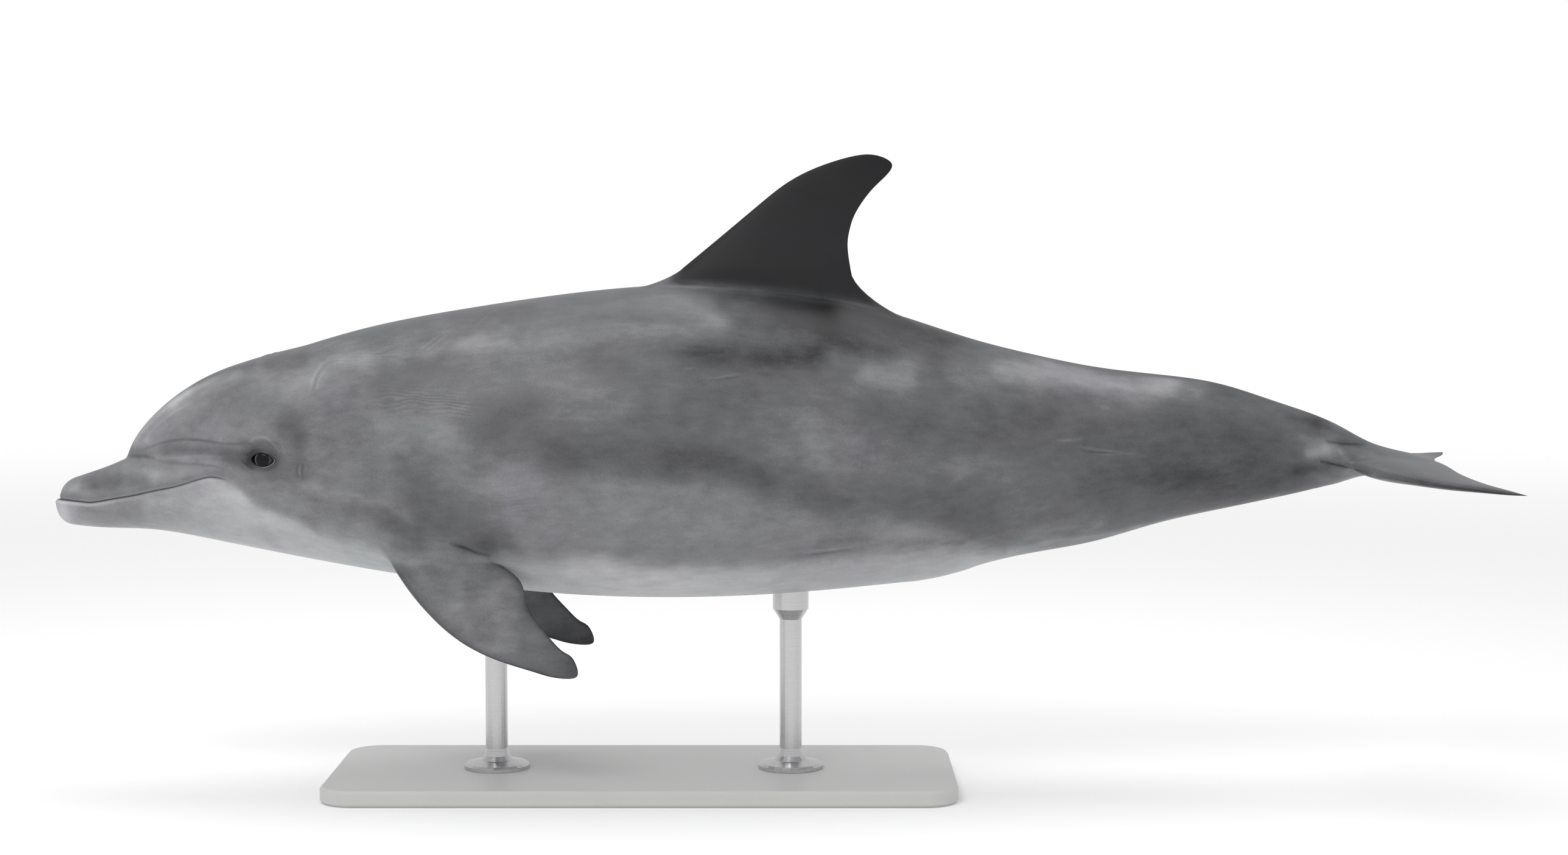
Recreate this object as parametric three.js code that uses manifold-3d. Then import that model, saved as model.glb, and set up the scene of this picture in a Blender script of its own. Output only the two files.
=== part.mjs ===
// A life-size bottlenose dolphin, in a level glide with its back a little arched, on a plain display stand.
// Millimetres, +Z up. The dolphin swims towards -X and its left side faces -Y. The origin is the centre of
// the stand's underside.
//
// The whole animal is first made as one closed skin: a lofted body whose last rings fan out into the flukes,
// with the dorsal fin and the two flippers grown out of it. Thin cuts then part that skin into its pieces.
// Places on the body are given as `along`, the distance behind the tip of the lower jaw, and `up`, the
// height above the body's long axis.
import * as THREE from "three";
import Module from "manifold-3d";
import { mergeVertices } from "three/addons/utils/BufferGeometryUtils.js";

const { PI, abs, atan2, cos, hypot, max, min, sign, sin, sqrt } = Math;

// ---- Driving dimensions -------------------------------------------------------------------------------

const SNOUT_TO_NOTCH = 2600; // standard length, lower jaw to fluke notch
const AXIS_HEIGHT = 680; // the body's long axis above the floor
const STAND_ALONG = 1110; // where the stand's centre is, behind the jaw tip
const CUT = 0.4; // width of the cuts between pieces
const MOUTH_GAP = 0.9; // the closed lips

const BEAK_START = 9; // the upper jaw stops this far behind the tip of the lower one
const BEAK_END = 131; // the crease where the melon rises
const MOUTH_CORNER = 346;
const HEAD_BACK = 470;
const NECK_BACK = 600;
const CHEST_BACK = 1085;
const MIDDLE_BACK = 1640;
const LOIN_BACK = 1900;
const STOCK_BACK = 2180;
const FLUKE_ROOT = 2380;

const FLUKE_HALF_SPAN = 320;
const FLUKE_TIP = 2700;
const FLUKE_BULK = 0.095; // half the thickness of a fluke, as a share of its chord
const FLUKE_DROOP = 25; // how far the tips hang below the centre
const TAIL_TWIST = 2.3; // degrees, left fluke down
const FIN_END = 0.02; // share of a fin's chord taken up by the rounding of each edge

const EYE_ALONG = 418;
const EYE_UP = -49;
const EYE_RADIUS = 22;
const EYE_SHOWS = 6; // how far the eyeball stands out of the surface round it
const LID_LENGTH = 20; // half-length of the lids' ring, to the middle of its thickness
const LID_HEIGHT = 14;
const LID_THICK = 5;

const BLOWHOLE_ALONG = 412;
const BLOWHOLE_RADIUS = 17;
const BLOWHOLE_SLIT = 4;
const BLOWHOLE_DEPTH = 9;

const FLIPPER_CUT = 9; // how far outside the flank a flipper is cut off

const STAND_LENGTH = 1180;
const STAND_WIDTH = 460;
const STAND_THICK = 30;
const STAND_CORNER = 60;
const STAND_BEVEL = 5;
const ROD_RADIUS = 21;
const ROD_SPREAD = 560; // between the two rods
const FLANGE_RADIUS = 62;
const FLANGE_HEIGHT = 16;
const COLLAR_RADIUS = 34;
const COLLAR_UP = 336; // where the collar under the belly starts, above the floor

// ---- Small helpers ------------------------------------------------------------------------------------

// A smooth curve through [at, value] pairs: the natural cubic spline, straight beyond both ends.
function curve(...points) {
  const last = points.length - 1;
  const gap = (i) => points[i + 1][0] - points[i][0];
  const slope = (i) => (points[i + 1][1] - points[i][1]) / gap(i);
  const bend = new Array(last + 1).fill(0);
  const sweep = new Array(last + 1).fill(0);
  for (let i = 1; i < last; i++) {
    const pivot = 2 * (gap(i - 1) + gap(i)) - gap(i - 1) * sweep[i - 1];
    sweep[i] = gap(i) / pivot;
    bend[i] = (6 * (slope(i) - slope(i - 1)) - gap(i - 1) * bend[i - 1]) / pivot;
  }
  for (let i = last - 1; i > 0; i--) bend[i] -= sweep[i] * bend[i + 1];
  return (at) => {
    let i = 0;
    while (i < last - 1 && at > points[i + 1][0]) i++;
    const d = gap(i);
    const b = (at - points[i][0]) / d;
    const a = 1 - b;
    if (a > 1) return points[0][1] + b * d * (slope(0) - (d * bend[1]) / 6);
    if (b > 1) return points[last][1] - a * d * (slope(i) + (d * bend[i]) / 6);
    const chord = a * points[i][1] + b * points[i + 1][1];
    return chord + ((a ** 3 - a) * bend[i] + (b ** 3 - b) * bend[i + 1]) * ((d * d) / 6);
  };
}

function smoothStep(from, to, at) {
  const t = min(1, max(0, (at - from) / (to - from)));
  return t * t * (3 - 2 * t);
}

// The larger of two sizes, with a fillet of that reach where they are nearly equal.
function softMax(a, b, reach) {
  const near = max(reach - abs(a - b), 0);
  return max(a, b) + (near * near) / (4 * reach);
}

// Radius of a rounded section in a direction: its half-width, half-height and squareness.
function sectionRadius(angle, halfWidth, halfHeight, squareness) {
  const across = abs(sin(angle) / halfWidth) ** squareness;
  const upright = abs(cos(angle) / halfHeight) ** squareness;
  return (across + upright) ** (-1 / squareness);
}

const difference = (a, b) => a.map((value, i) => value - b[i]);
const unit = (a) => a.map((value) => value / hypot(...a));

// Growth of a blunt nose, from 0 at its tip to 1 at that depth behind it.
function bluntNose(depth, at) {
  const left = 1 - min(max(at, 0), depth) / depth;
  return (1 - left ** 2.5) ** 0.4;
}

// ---- The body's outline, as `along` against `up` or half-width -----------------------------------------

const backLine = curve(
  [9, -104], [43, -92], [90, -76], [131, -59], [200, -18], [290, 60], [400, 128], [480, 157],
  [588, 188], [760, 222], [932, 248], [1104, 266], [1220, 269], [1341, 261], [1480, 241],
  [1598, 211], [1735, 167], [1850, 138], [1965, 115], [2100, 99], [2196, 84], [2311, 48],
  [2427, 3], [2485, -29], [2560, -49], [2600, -54],
);
const bellyLine = curve(
  [9, -178], [40, -184], [87, -189], [180, -192], [295, -210], [410, -233], [583, -265],
  [760, -292], [960, -313], [1160, -320], [1391, -312], [1564, -297], [1680, -280], [1761, -257],
  [1830, -241], [1968, -215], [2083, -182], [2198, -156], [2313, -132], [2428, -102],
  [2485, -82], [2560, -69], [2600, -67],
);
const halfWidth = curve(
  [9, 33], [40, 39], [80, 45], [136, 58], [200, 79], [270, 102], [344, 124], [418, 145], [500, 164],
  [600, 188], [712, 211], [850, 231], [1000, 241], [1150, 241], [1300, 232], [1450, 213],
  [1600, 186], [1750, 156], [1900, 128], [2050, 101], [2200, 75], [2320, 51], [2400, 37],
  [2500, 30], [2600, 24],
);
const widestUp = curve(
  [9, -133], [76, -130], [136, -120], [200, -108], [300, -92], [418, -76], [500, -68], [700, -62],
  [1000, -58], [1400, -52], [1700, -48], [2000, -47], [2300, -42], [2420, -50], [2485, -57],
  [2600, -61],
);
const STOCK_SQUARENESS = 1.7; // the tail stock is keeled above and below
const squareAbove = curve(
  [8, 2.4], [136, 2.3], [300, 2.1], [600, 2], [1100, 1.9], [1700, 1.75], [2250, STOCK_SQUARENESS],
  [2400, STOCK_SQUARENESS],
);
const squareBelow = curve(
  [8, 2.3], [150, 2.4], [344, 2.3], [600, 2.2], [1400, 2.15], [1900, 1.8], [2250, STOCK_SQUARENESS],
  [2400, STOCK_SQUARENESS],
);

// The melon is a second, rounder form over the first one. The crease round it is where the two meet.
const melonTop = curve(
  [131, -68], [143, -38], [159, -10], [182, 18], [215, 49], [260, 81], [323, 112], [400, 133], [440, 136],
  [500, 128], [560, 110],
);
const melonHalfWidth = curve(
  [131, 8], [145, 34], [163, 52], [200, 72], [270, 94], [344, 119], [400, 134], [470, 142],
);
const melonSquareness = curve([128, 3], [200, 2.5], [300, 2.2], [420, 2.1]);
const creaseReach = curve([128, 7], [200, 9], [300, 16], [400, 24], [520, 30]);
const MELON_FROM = 128;
const MELON_TO = 560;

const mouthLine = curve(
  [6, -133], [28, -134], [50, -136], [74, -138], [96, -135], [127, -129], [164, -122], [201, -113],
  [239, -105], [270, -96], [295, -88], [314, -84], [332, -85], [346, -88],
);

// How far the lower jaw's skin is drawn forward, past the upper jaw.
function jawReach(along, up) {
  const below = smoothStep(-3, 5, mouthLine(along) - up);
  return BEAK_START * below * (1 - smoothStep(BEAK_START, 95, along));
}

// The tail's slight roll about its own axis, in radians.
function twist(along) {
  return ((TAIL_TWIST * PI) / 180) * smoothStep(1900, 2520, along);
}

function twisted(along, across, up) {
  const turn = twist(along);
  const centre = widestUp(along);
  return [
    along,
    across * cos(turn) - (up - centre) * sin(turn),
    centre + across * sin(turn) + (up - centre) * cos(turn),
  ];
}

// A point of the body's skin. Round is 0 at the back, PI / 2 at the left flank and PI at the belly.
function bodyPoint(along, round) {
  const centre = widestUp(along);
  const upper = cos(round) >= 0;
  const nose = bluntNose(upper ? 30 : 40, along - BEAK_START);
  const wide = halfWidth(along) * bluntNose(36, along - BEAK_START);
  const tall = (upper ? backLine(along) - centre : centre - bellyLine(along)) * nose;
  const angle = atan2(wide * sin(round), tall * cos(round));
  let radius = sectionRadius(angle, wide, tall, (upper ? squareAbove : squareBelow)(along));
  if (upper && along > MELON_FROM && along < MELON_TO) {
    const [melonWide, melonTall] = [melonHalfWidth(along), melonTop(along) - centre];
    const melon = sectionRadius(angle, melonWide, melonTall, melonSquareness(along));
    // Its fillet fades out at the widest line, where the upper half meets the lower one.
    const fade = smoothStep(0, 0.3, cos(round));
    radius += (softMax(radius, melon, creaseReach(along)) - radius) * fade;
  }
  const up = centre + radius * cos(angle);
  return twisted(along - jawReach(along, up), -radius * sin(angle), up);
}

// ---- The flukes ---------------------------------------------------------------------------------------

// Thickness along a fin's section, 0 at both edges and 1 at its thickest, with a thin rounded rear edge.
function finSection(share) {
  const c = min(1, max(0, share));
  return (0.85 * sqrt(c) * (1 - c) ** 0.9) / 0.4015 + 0.15 * sqrt(4 * c * (1 - c));
}

const rootHalfWidth = halfWidth(FLUKE_ROOT);
const flukeFront = [
  [0, FLUKE_ROOT, rootHalfWidth], [0.08, 2404, 45], [0.2, 2437, 80], [0.4, 2498, 146], [0.6, 2562, 203],
  [0.8, 2628, 258], [0.92, 2671, 298], [1, FLUKE_TIP, FLUKE_HALF_SPAN],
];
const frontAlong = curve(...flukeFront.map(([t, along]) => [t, along]));
const frontAcross = curve(...flukeFront.map(([t, , across]) => [t, across]));
const frontAt = curve([0, 2366], ...flukeFront.map(([, along, across]) => [across, along]));
const rearAt = curve(
  [0, SNOUT_TO_NOTCH], [14, 2608], [40, 2619], [90, 2628], [150, 2643], [215, 2665], [270, 2687],
  [FLUKE_HALF_SPAN, FLUKE_TIP],
);

// A place in the flukes' plan, from the fan's row (0 root to 1 rear edge) and its share of the half-span.
function flukePlan(row, out) {
  const inner = FLUKE_ROOT + (SNOUT_TO_NOTCH - FLUKE_ROOT) * row;
  const outer = frontAlong(row);
  const rearCentre = (1 - out) * SNOUT_TO_NOTCH + out * FLUKE_TIP;
  const along = (1 - out) * inner + out * outer + row * (rearAt(FLUKE_HALF_SPAN * out) - rearCentre);
  return [along, out * frontAcross(row)];
}

// The tail stock runs on between the flukes as a ridge, and its sides flatten out into them.
function ridge(along, across, out, tall) {
  const spread = smoothStep(FLUKE_ROOT, FLUKE_ROOT + 80, along);
  const stock = (1 - out ** STOCK_SQUARENESS) ** (1 / STOCK_SQUARENESS);
  const bellShare = min(1, across / (2.3 * halfWidth(along)));
  const bell = (1 - bellShare * bellShare) ** 2;
  return tall * ((1 - spread) * stock + spread * bell);
}

function flukePoint(row, round) {
  const out = abs(sin(round)) * sectionRadius(round, 1, 1, STOCK_SQUARENESS);
  const [along, across] = flukePlan(row, out);
  const upper = cos(round) >= 0;
  const stockAlong = min(along, SNOUT_TO_NOTCH);
  const centre = widestUp(stockAlong);
  const tall = upper ? backLine(stockAlong) - centre : centre - bellyLine(stockAlong);
  const chord = max(1, rearAt(across) - frontAt(across));
  const blade = FLUKE_BULK * chord * finSection((along - frontAt(across)) / chord);
  const middle = ridge(stockAlong, across, out, tall) * (1 - row ** 6);
  const edge = row > 0.999 || out > 0.9999;
  const thick = edge ? 0 : (middle ** 4 + blade ** 4) ** 0.25;
  const droop = FLUKE_DROOP * (1 - (1 - across / FLUKE_HALF_SPAN) ** 2);
  return twisted(along, -sign(sin(round)) * across, centre - droop + (upper ? thick : -thick));
}

// ---- Fins that grow out of the body -------------------------------------------------------------------

// Each rib is [share of the span, front edge, rear edge], with edges as [chordwise, spanwise] in the plane
// of the fin. The tip closes the outline.
const dorsalFin = {
  ribs: [
    [0, [1188, 302], [1503, 297]], [0.25, [1262, 363], [1497, 343]], [0.5, [1341, 429], [1502, 378]],
    [0.75, [1437, 488], [1523, 424]], [0.88, [1503, 509], [1549, 457]], [0.97, [1554, 513], [1571, 481]],
  ],
  tip: [1578, 502],
  bulk: curve([0, 0.165], [0.4, 0.135], [1, 0.13]), // thickness as a share of the chord
  place: (chordwise, spanwise, aside) => [chordwise, -aside, spanwise],
  hug: 0.75, // how closely its fillet keeps to the back before it rises
  from: 1105, to: 1600, // the stretch of the back that it grows from
  firstRound: -1, lastRound: 1, // and the strip, in steps round the body
};

const FLIPPER_ROOT = { across: 153, up: -215 };
const FLIPPER_SPLAY = { left: 0.291, right: 0.24 }; // radians outwards from straight down
const flipperRibs = [
  [0, [660, 34], [853, 27]], [0.2, [690, 77], [893, 58]], [0.4, [728, 121], [905, 97]],
  [0.6, [785, 170], [924, 134]], [0.8, [872, 211], [954, 169]], [0.9, [928, 228], [978, 191]],
  [0.97, [975, 238], [998, 212]],
];

// side is -1 for the left flipper and 1 for the right one.
function flipper(side, splay, firstRound) {
  return {
    ribs: flipperRibs,
    tip: [1000, 234],
    bulk: curve([0, 0.27], [0.25, 0.2], [0.5, 0.16], [1, 0.16]),
    place: (chordwise, spanwise, aside) => {
      const bow = -8 * sin((PI * min(spanwise, 230)) / 230); // its outer face is a little crowned
      const out = aside * side - bow;
      return [
        chordwise,
        side * (FLIPPER_ROOT.across + spanwise * sin(splay) + out * cos(splay)),
        FLIPPER_ROOT.up - spanwise * cos(splay) + out * sin(splay),
      ];
    },
    hug: 0.8,
    from: 622, to: 838,
    firstRound, lastRound: firstRound + 2,
  };
}

// ---- The whole skin as one closed mesh ----------------------------------------------------------------

// Where the skin's vertices lie round one side of the body, in degrees from back to belly. The dorsal fin
// grows between the first of them and its mirror image, the flippers from 126 to 144.
const SIDE_ROUNDS = [0, 9, 22, 35, 48, 60, 71, 81, 90, 101, 113, 126, 135, 144, 156, 168, 180];
const HALF_ROUND = SIDE_ROUNDS.length - 1;
const ROUND_STEPS = 2 * HALF_ROUND;
const FLIPPER_STEP = SIDE_ROUNDS.indexOf(126);

const evenly = (from, to, steps) =>
  Array.from({ length: steps }, (_, i) => from + ((to - from) * (i + 1)) / steps);
const cutAt = (along) => [along - CUT / 2, along + CUT / 2];
const ringPlaces = [
  9.6, 12, 18, 30, 55, 92, ...cutAt(BEAK_END), 140, 151, 170, 205, 250, 300, MOUTH_CORNER, 384, 424,
  ...cutAt(HEAD_BACK), 535, ...cutAt(NECK_BACK), 622, ...evenly(622, 838, 7), ...evenly(838, 1024, 3),
  ...cutAt(CHEST_BACK), 1105, ...evenly(1105, 1600, 10), ...cutAt(MIDDLE_BACK),
  ...evenly(MIDDLE_BACK, LOIN_BACK, 4).slice(0, -1), ...cutAt(LOIN_BACK),
  ...evenly(LOIN_BACK, STOCK_BACK, 4).slice(0, -1), ...cutAt(STOCK_BACK),
  ...evenly(STOCK_BACK, FLUKE_ROOT, 3).slice(0, -1), ...cutAt(FLUKE_ROOT),
];
const FLUKE_ROWS = [0.08, 0.17, 0.28, 0.4, 0.53, 0.66, 0.79, 0.89, 0.96];
const FIN_LEVELS = [0.15, 0.32, 0.5, 0.68, 0.82, 0.92, 0.98];

const vertices = [];
const triangles = [];
const addVertex = (place) => vertices.push(place) - 1;
const apart = (a, b) => hypot(...difference(vertices[a], vertices[b]));
const wrap = (step) => (step + ROUND_STEPS) % ROUND_STEPS;

// Four corners in turn, parted along the shorter diagonal, or from a fluke's tip if it is one of them.
function addQuad(a, b, c, d) {
  const tip = [a, b, c, d].findIndex((corner) => flukeTips.includes(corner));
  const fromFirst = tip < 0 ? apart(a, c) <= apart(b, d) : tip % 2 === 0;
  if (fromFirst) triangles.push([a, b, c], [a, c, d]);
  else triangles.push([b, c, d], [b, d, a]);
}

function roundOf(step) {
  const degrees = step <= HALF_ROUND ? SIDE_ROUNDS[step] : 360 - SIDE_ROUNDS[ROUND_STEPS - step];
  return (degrees * PI) / 180;
}

const ringOf = (point) => Array.from({ length: ROUND_STEPS }, (_, step) => addVertex(point(roundOf(step))));
const rings = ringPlaces.map((along) => ringOf((round) => bodyPoint(along, round)));
rings.push(...FLUKE_ROWS.map((row) => ringOf((round) => flukePoint(row, round))));
// The rear edge closes the fan: its upper and lower vertices are the same ones.
const rearEdge = ringOf((round) => flukePoint(1, round));
const flukeTips = [rearEdge[HALF_ROUND / 2], rearEdge[ROUND_STEPS - HALF_ROUND / 2]];
const isUpper = (step) => cos(roundOf(step)) > -1e-9;
rings.push(rearEdge.map((vertex, step) => (isUpper(step) ? vertex : rearEdge[wrap(HALF_ROUND - step)])));

const fins = [
  dorsalFin,
  flipper(-1, FLIPPER_SPLAY.left, FLIPPER_STEP),
  flipper(1, FLIPPER_SPLAY.right, ROUND_STEPS - FLIPPER_STEP - 2),
];
for (const fin of fins) {
  fin.firstRing = ringPlaces.findIndex((along) => abs(along - fin.from) < 1e-6);
  fin.lastRing = ringPlaces.findIndex((along) => abs(along - fin.to) < 1e-6);
}
const ringVertex = (ring, step) => rings[ring][wrap(step)];
const within = (fin, ring, step) =>
  ring >= fin.firstRing && ring < fin.lastRing && step >= fin.firstRound && step < fin.lastRound;
const grownOver = (ring, step) =>
  fins.some((fin) => within(fin, ring, step) || within(fin, ring, step - ROUND_STEPS));

// The snout's tip, then the quads between rings.
const snout = addVertex([BEAK_START - 2, 0, widestUp(BEAK_START)]);
for (let step = 0; step < ROUND_STEPS; step++)
  triangles.push([snout, ringVertex(0, step + 1), ringVertex(0, step)]);
for (let ring = 0; ring < rings.length - 1; ring++)
  for (let step = 0; step < ROUND_STEPS; step++) {
    if (grownOver(ring, step)) continue;
    const near = [ringVertex(ring, step), ringVertex(ring, step + 1)];
    const far = [ringVertex(ring + 1, step + 1), ringVertex(ring + 1, step)];
    addQuad(...near, ...far);
  }

// The loop of body vertices round a fin's base, each with its share of the chord and its side of the fin,
// and the body vertex just outside it.
function finBase(fin) {
  const loop = [];
  const { firstRing, lastRing, firstRound, lastRound } = fin;
  const wide = lastRound - firstRound;
  const long = lastRing - firstRing;
  const push = (ring, step, outRing, outStep, share, side) =>
    loop.push({ vertex: ringVertex(ring, step), outside: ringVertex(outRing, outStep), share, side });
  const shareAt = (k) => FIN_END + ((1 - 2 * FIN_END) * k) / long;
  for (let k = 0; k < wide; k++) {
    const tilt = sin(PI * (k / wide - 0.5));
    push(firstRing, firstRound + k, firstRing - 1, firstRound + k - (k === 0), FIN_END * tilt * tilt, tilt);
  }
  for (let k = 0; k < long; k++)
    push(firstRing + k, lastRound, firstRing + k - (k === 0), lastRound + 1, shareAt(k), 1);
  for (let k = 0; k < wide; k++) {
    const tilt = sin(PI * (0.5 - k / wide));
    push(lastRing, lastRound - k, lastRing + 1, lastRound - k + (k === 0), 1 - FIN_END * tilt * tilt, tilt);
  }
  for (let k = 0; k < long; k++)
    push(lastRing - k, firstRound, lastRing - k + (k === 0), firstRound - 1, 1 - shareAt(k), -1);
  return loop;
}

function growFin(fin) {
  const outline = (axis) => curve(
    ...fin.ribs.map(([t, front]) => [t, front[axis]]), [1, fin.tip[axis]],
    ...[...fin.ribs].reverse().map(([t, , rear]) => [2 - t, rear[axis]]),
  );
  const chordwise = outline(0);
  const spanwise = outline(1);
  // A point of the fin's own surface, at that share of its span.
  const finPoint = (t, { share, side }) => {
    const front = [chordwise(t), spanwise(t)];
    const rear = [chordwise(2 - t), spanwise(2 - t)];
    const chord = hypot(rear[0] - front[0], rear[1] - front[1]);
    const section = side * finSection(min(1 - FIN_END, max(FIN_END, share)));
    const aside = (fin.bulk(t) * chord * section) / 2;
    return fin.place(front[0] + (rear[0] - front[0]) * share, front[1] + (rear[1] - front[1]) * share, aside);
  };
  const base = finBase(fin);
  let lower = base.map((place) => place.vertex);
  const join = (upper) => {
    for (let k = 0; k < lower.length; k++) {
      const next = (k + 1) % lower.length;
      addQuad(lower[k], lower[next], upper[next], upper[k]);
    }
    lower = upper;
  };
  // A fillet of three rows leads from the body's own slope to the fin's.
  for (const t of [1 / 3, 2 / 3, 1])
    join(base.map((place) => {
      const start = vertices[place.vertex];
      const end = finPoint(0, place);
      const reach = hypot(...difference(end, start));
      const leave = unit(difference(start, vertices[place.outside])).map((v) => v * reach * fin.hug);
      const arrive = unit(difference(finPoint(0.08, place), end)).map((v) => v * reach * fin.hug);
      const there = 3 * t * t - 2 * t ** 3;
      const leaving = t ** 3 - 2 * t * t + t;
      const arriving = t ** 3 - t * t;
      return addVertex(start.map((value, i) =>
        (1 - there) * value + leaving * leave[i] + there * end[i] + arriving * arrive[i]));
    }));
  for (const t of FIN_LEVELS) join(base.map((place) => addVertex(finPoint(t, place))));
  const tip = addVertex(fin.place(fin.tip[0], fin.tip[1], 0));
  for (let k = 0; k < lower.length; k++) triangles.push([lower[k], lower[(k + 1) % lower.length], tip]);
}
fins.forEach(growFin);

// ---- Solids -------------------------------------------------------------------------------------------

const wasm = await Module();
wasm.setup();

function solid(geometry) {
  const bare = geometry.clone();
  for (const name of Object.keys(bare.attributes)) if (name !== "position") bare.deleteAttribute(name);
  const merged = mergeVertices(bare, 1e-4);
  return new wasm.Manifold(new wasm.Mesh({
    numProp: 3,
    vertProperties: new Float32Array(merged.attributes.position.array),
    triVerts: new Uint32Array(merged.index.array),
  }));
}

function geometryOf(made) {
  const mesh = made.getMesh();
  const geometry = new THREE.BufferGeometry();
  geometry.setAttribute("position", new THREE.BufferAttribute(new Float32Array(mesh.vertProperties), 3));
  geometry.setIndex(new THREE.BufferAttribute(new Uint32Array(mesh.triVerts), 1));
  return geometry;
}

const BIG = 1600; // reaches past the animal on every side

function skinSolid() {
  const geometry = new THREE.BufferGeometry();
  geometry.setAttribute("position", new THREE.Float32BufferAttribute(vertices.flat(), 3));
  geometry.setIndex(triangles.flat());
  return solid(geometry);
}

// Everything between two places along the body.
function stretch(from, to) {
  const box = new THREE.BoxGeometry(to - from, 2 * BIG, 2 * BIG);
  return solid(box.translate((from + to) / 2, 0, 0));
}

// Everything on one side of the midline.
function sideBox(side) {
  const box = new THREE.BoxGeometry(4 * BIG, BIG, 2 * BIG);
  return solid(box.translate(0, side * (BIG / 2 + CUT / 2), 0));
}

// An outline of [along, up] corners, carried right across the body.
function acrossBody(corners) {
  const shape = new THREE.Shape(corners.map(([along, up]) => new THREE.Vector2(along, up)));
  const block = new THREE.ExtrudeGeometry(shape, { depth: 2 * BIG, bevelEnabled: false });
  return solid(block.rotateX(PI / 2).translate(0, BIG, 0));
}

// The lower jaw's side of the lips, lowered or raised by that much.
function belowMouth(lift, back) {
  const lips = [-60, 20, 70, 120, 165, 240, 290, 320, back].map((along) =>
    [along, mouthLine(along) + lift]);
  return acrossBody([...lips, [back, -BIG], [-60, -BIG]]);
}

// The region above the back that holds the dorsal fin.
function dorsalBlock(spread) {
  const [from, to] = [1142 - spread, 1574 + spread];
  const foot = [from, ...evenly(from, to, 6)].map((along) => [along, backLine(along) + 4 - spread]);
  return acrossBody([...foot, [to, 340], [to + 100, 360], [to + 100, BIG], [from, BIG]]);
}

// The outward direction of the body's skin there.
function outward(along, round) {
  const alongBody = difference(bodyPoint(along + 1, round), bodyPoint(along - 1, round));
  const roundBody = difference(bodyPoint(along, round + 0.01), bodyPoint(along, round - 0.01));
  return new THREE.Vector3(...roundBody).cross(new THREE.Vector3(...alongBody)).normalize();
}

// The half-space outside the body at a flipper's root.
function flipperBlock(side, lift) {
  const round = side < 0 ? (135 * PI) / 180 : (225 * PI) / 180;
  const normal = outward(735, round);
  const turn = new THREE.Quaternion().setFromUnitVectors(new THREE.Vector3(0, 0, 1), normal);
  const box = new THREE.BoxGeometry(600, 600, 500).translate(0, 0, 250 + lift);
  return solid(box.applyQuaternion(turn).translate(...bodyPoint(735, round)));
}

// ---- Eyes and blowhole --------------------------------------------------------------------------------

// Round the body to where its side is at that height.
function roundAt(along, up) {
  let [low, high] = [0, PI];
  for (let i = 0; i < 30; i++) {
    const middle = (low + high) / 2;
    if (bodyPoint(along, middle)[2] > up) low = middle;
    else high = middle;
  }
  return low;
}

const eyeRound = roundAt(EYE_ALONG, EYE_UP);

// Sets a shape that faces +Z onto the head at the eye, sunk to that depth.
function atEye(side, geometry, depth) {
  const round = side < 0 ? eyeRound : 2 * PI - eyeRound;
  const normal = outward(EYE_ALONG, round);
  const level = new THREE.Vector3(1, 0, 0).addScaledVector(normal, -normal.x).normalize();
  const upwards = new THREE.Vector3().crossVectors(normal, level);
  const turn = new THREE.Matrix4().makeBasis(level, upwards, normal);
  const place = new THREE.Vector3(...bodyPoint(EYE_ALONG, round)).addScaledVector(normal, -depth);
  return geometry.applyMatrix4(turn.setPosition(place));
}

const eyeball = (radius) => new THREE.IcosahedronGeometry(radius, 2);
const eyeSolid = (side, radius) => solid(atEye(side, eyeball(radius), EYE_RADIUS - EYE_SHOWS));

function lids(side) {
  const ring = new THREE.TorusGeometry(1, LID_THICK / LID_LENGTH, 5, 16);
  ring.scale(LID_LENGTH, LID_HEIGHT, LID_LENGTH);
  return solid(atEye(side, ring, 1));
}

// A crescent slit across the top of the head, its horns pointing forward.
function blowhole() {
  const shape = new THREE.Shape();
  shape.absarc(0, 0, BLOWHOLE_RADIUS, -1.15, 1.15, false);
  shape.absarc(0, 0, BLOWHOLE_RADIUS - BLOWHOLE_SLIT, 1.15, -1.15, true);
  const slit = new THREE.ExtrudeGeometry(shape, { depth: 30, bevelEnabled: false, curveSegments: 8 });
  const top = bodyPoint(BLOWHOLE_ALONG, 0)[2];
  return solid(slit.translate(BLOWHOLE_ALONG - BLOWHOLE_RADIUS, 0, top - BLOWHOLE_DEPTH));
}

// ---- The display stand --------------------------------------------------------------------------------

function standBase() {
  const [x, y, r] = [STAND_LENGTH / 2 - STAND_BEVEL, STAND_WIDTH / 2 - STAND_BEVEL, STAND_CORNER];
  const shape = new THREE.Shape();
  shape.absarc(x - r, y - r, r, 0, PI / 2, false);
  shape.absarc(r - x, y - r, r, PI / 2, PI, false);
  shape.absarc(r - x, r - y, r, PI, 1.5 * PI, false);
  shape.absarc(x - r, r - y, r, 1.5 * PI, 2 * PI, false);
  const plate = new THREE.ExtrudeGeometry(shape, {
    depth: STAND_THICK - 2 * STAND_BEVEL, curveSegments: 6, bevelSegments: 1,
    bevelSize: STAND_BEVEL, bevelThickness: STAND_BEVEL,
  });
  return plate.translate(0, 0, STAND_BEVEL);
}

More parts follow.
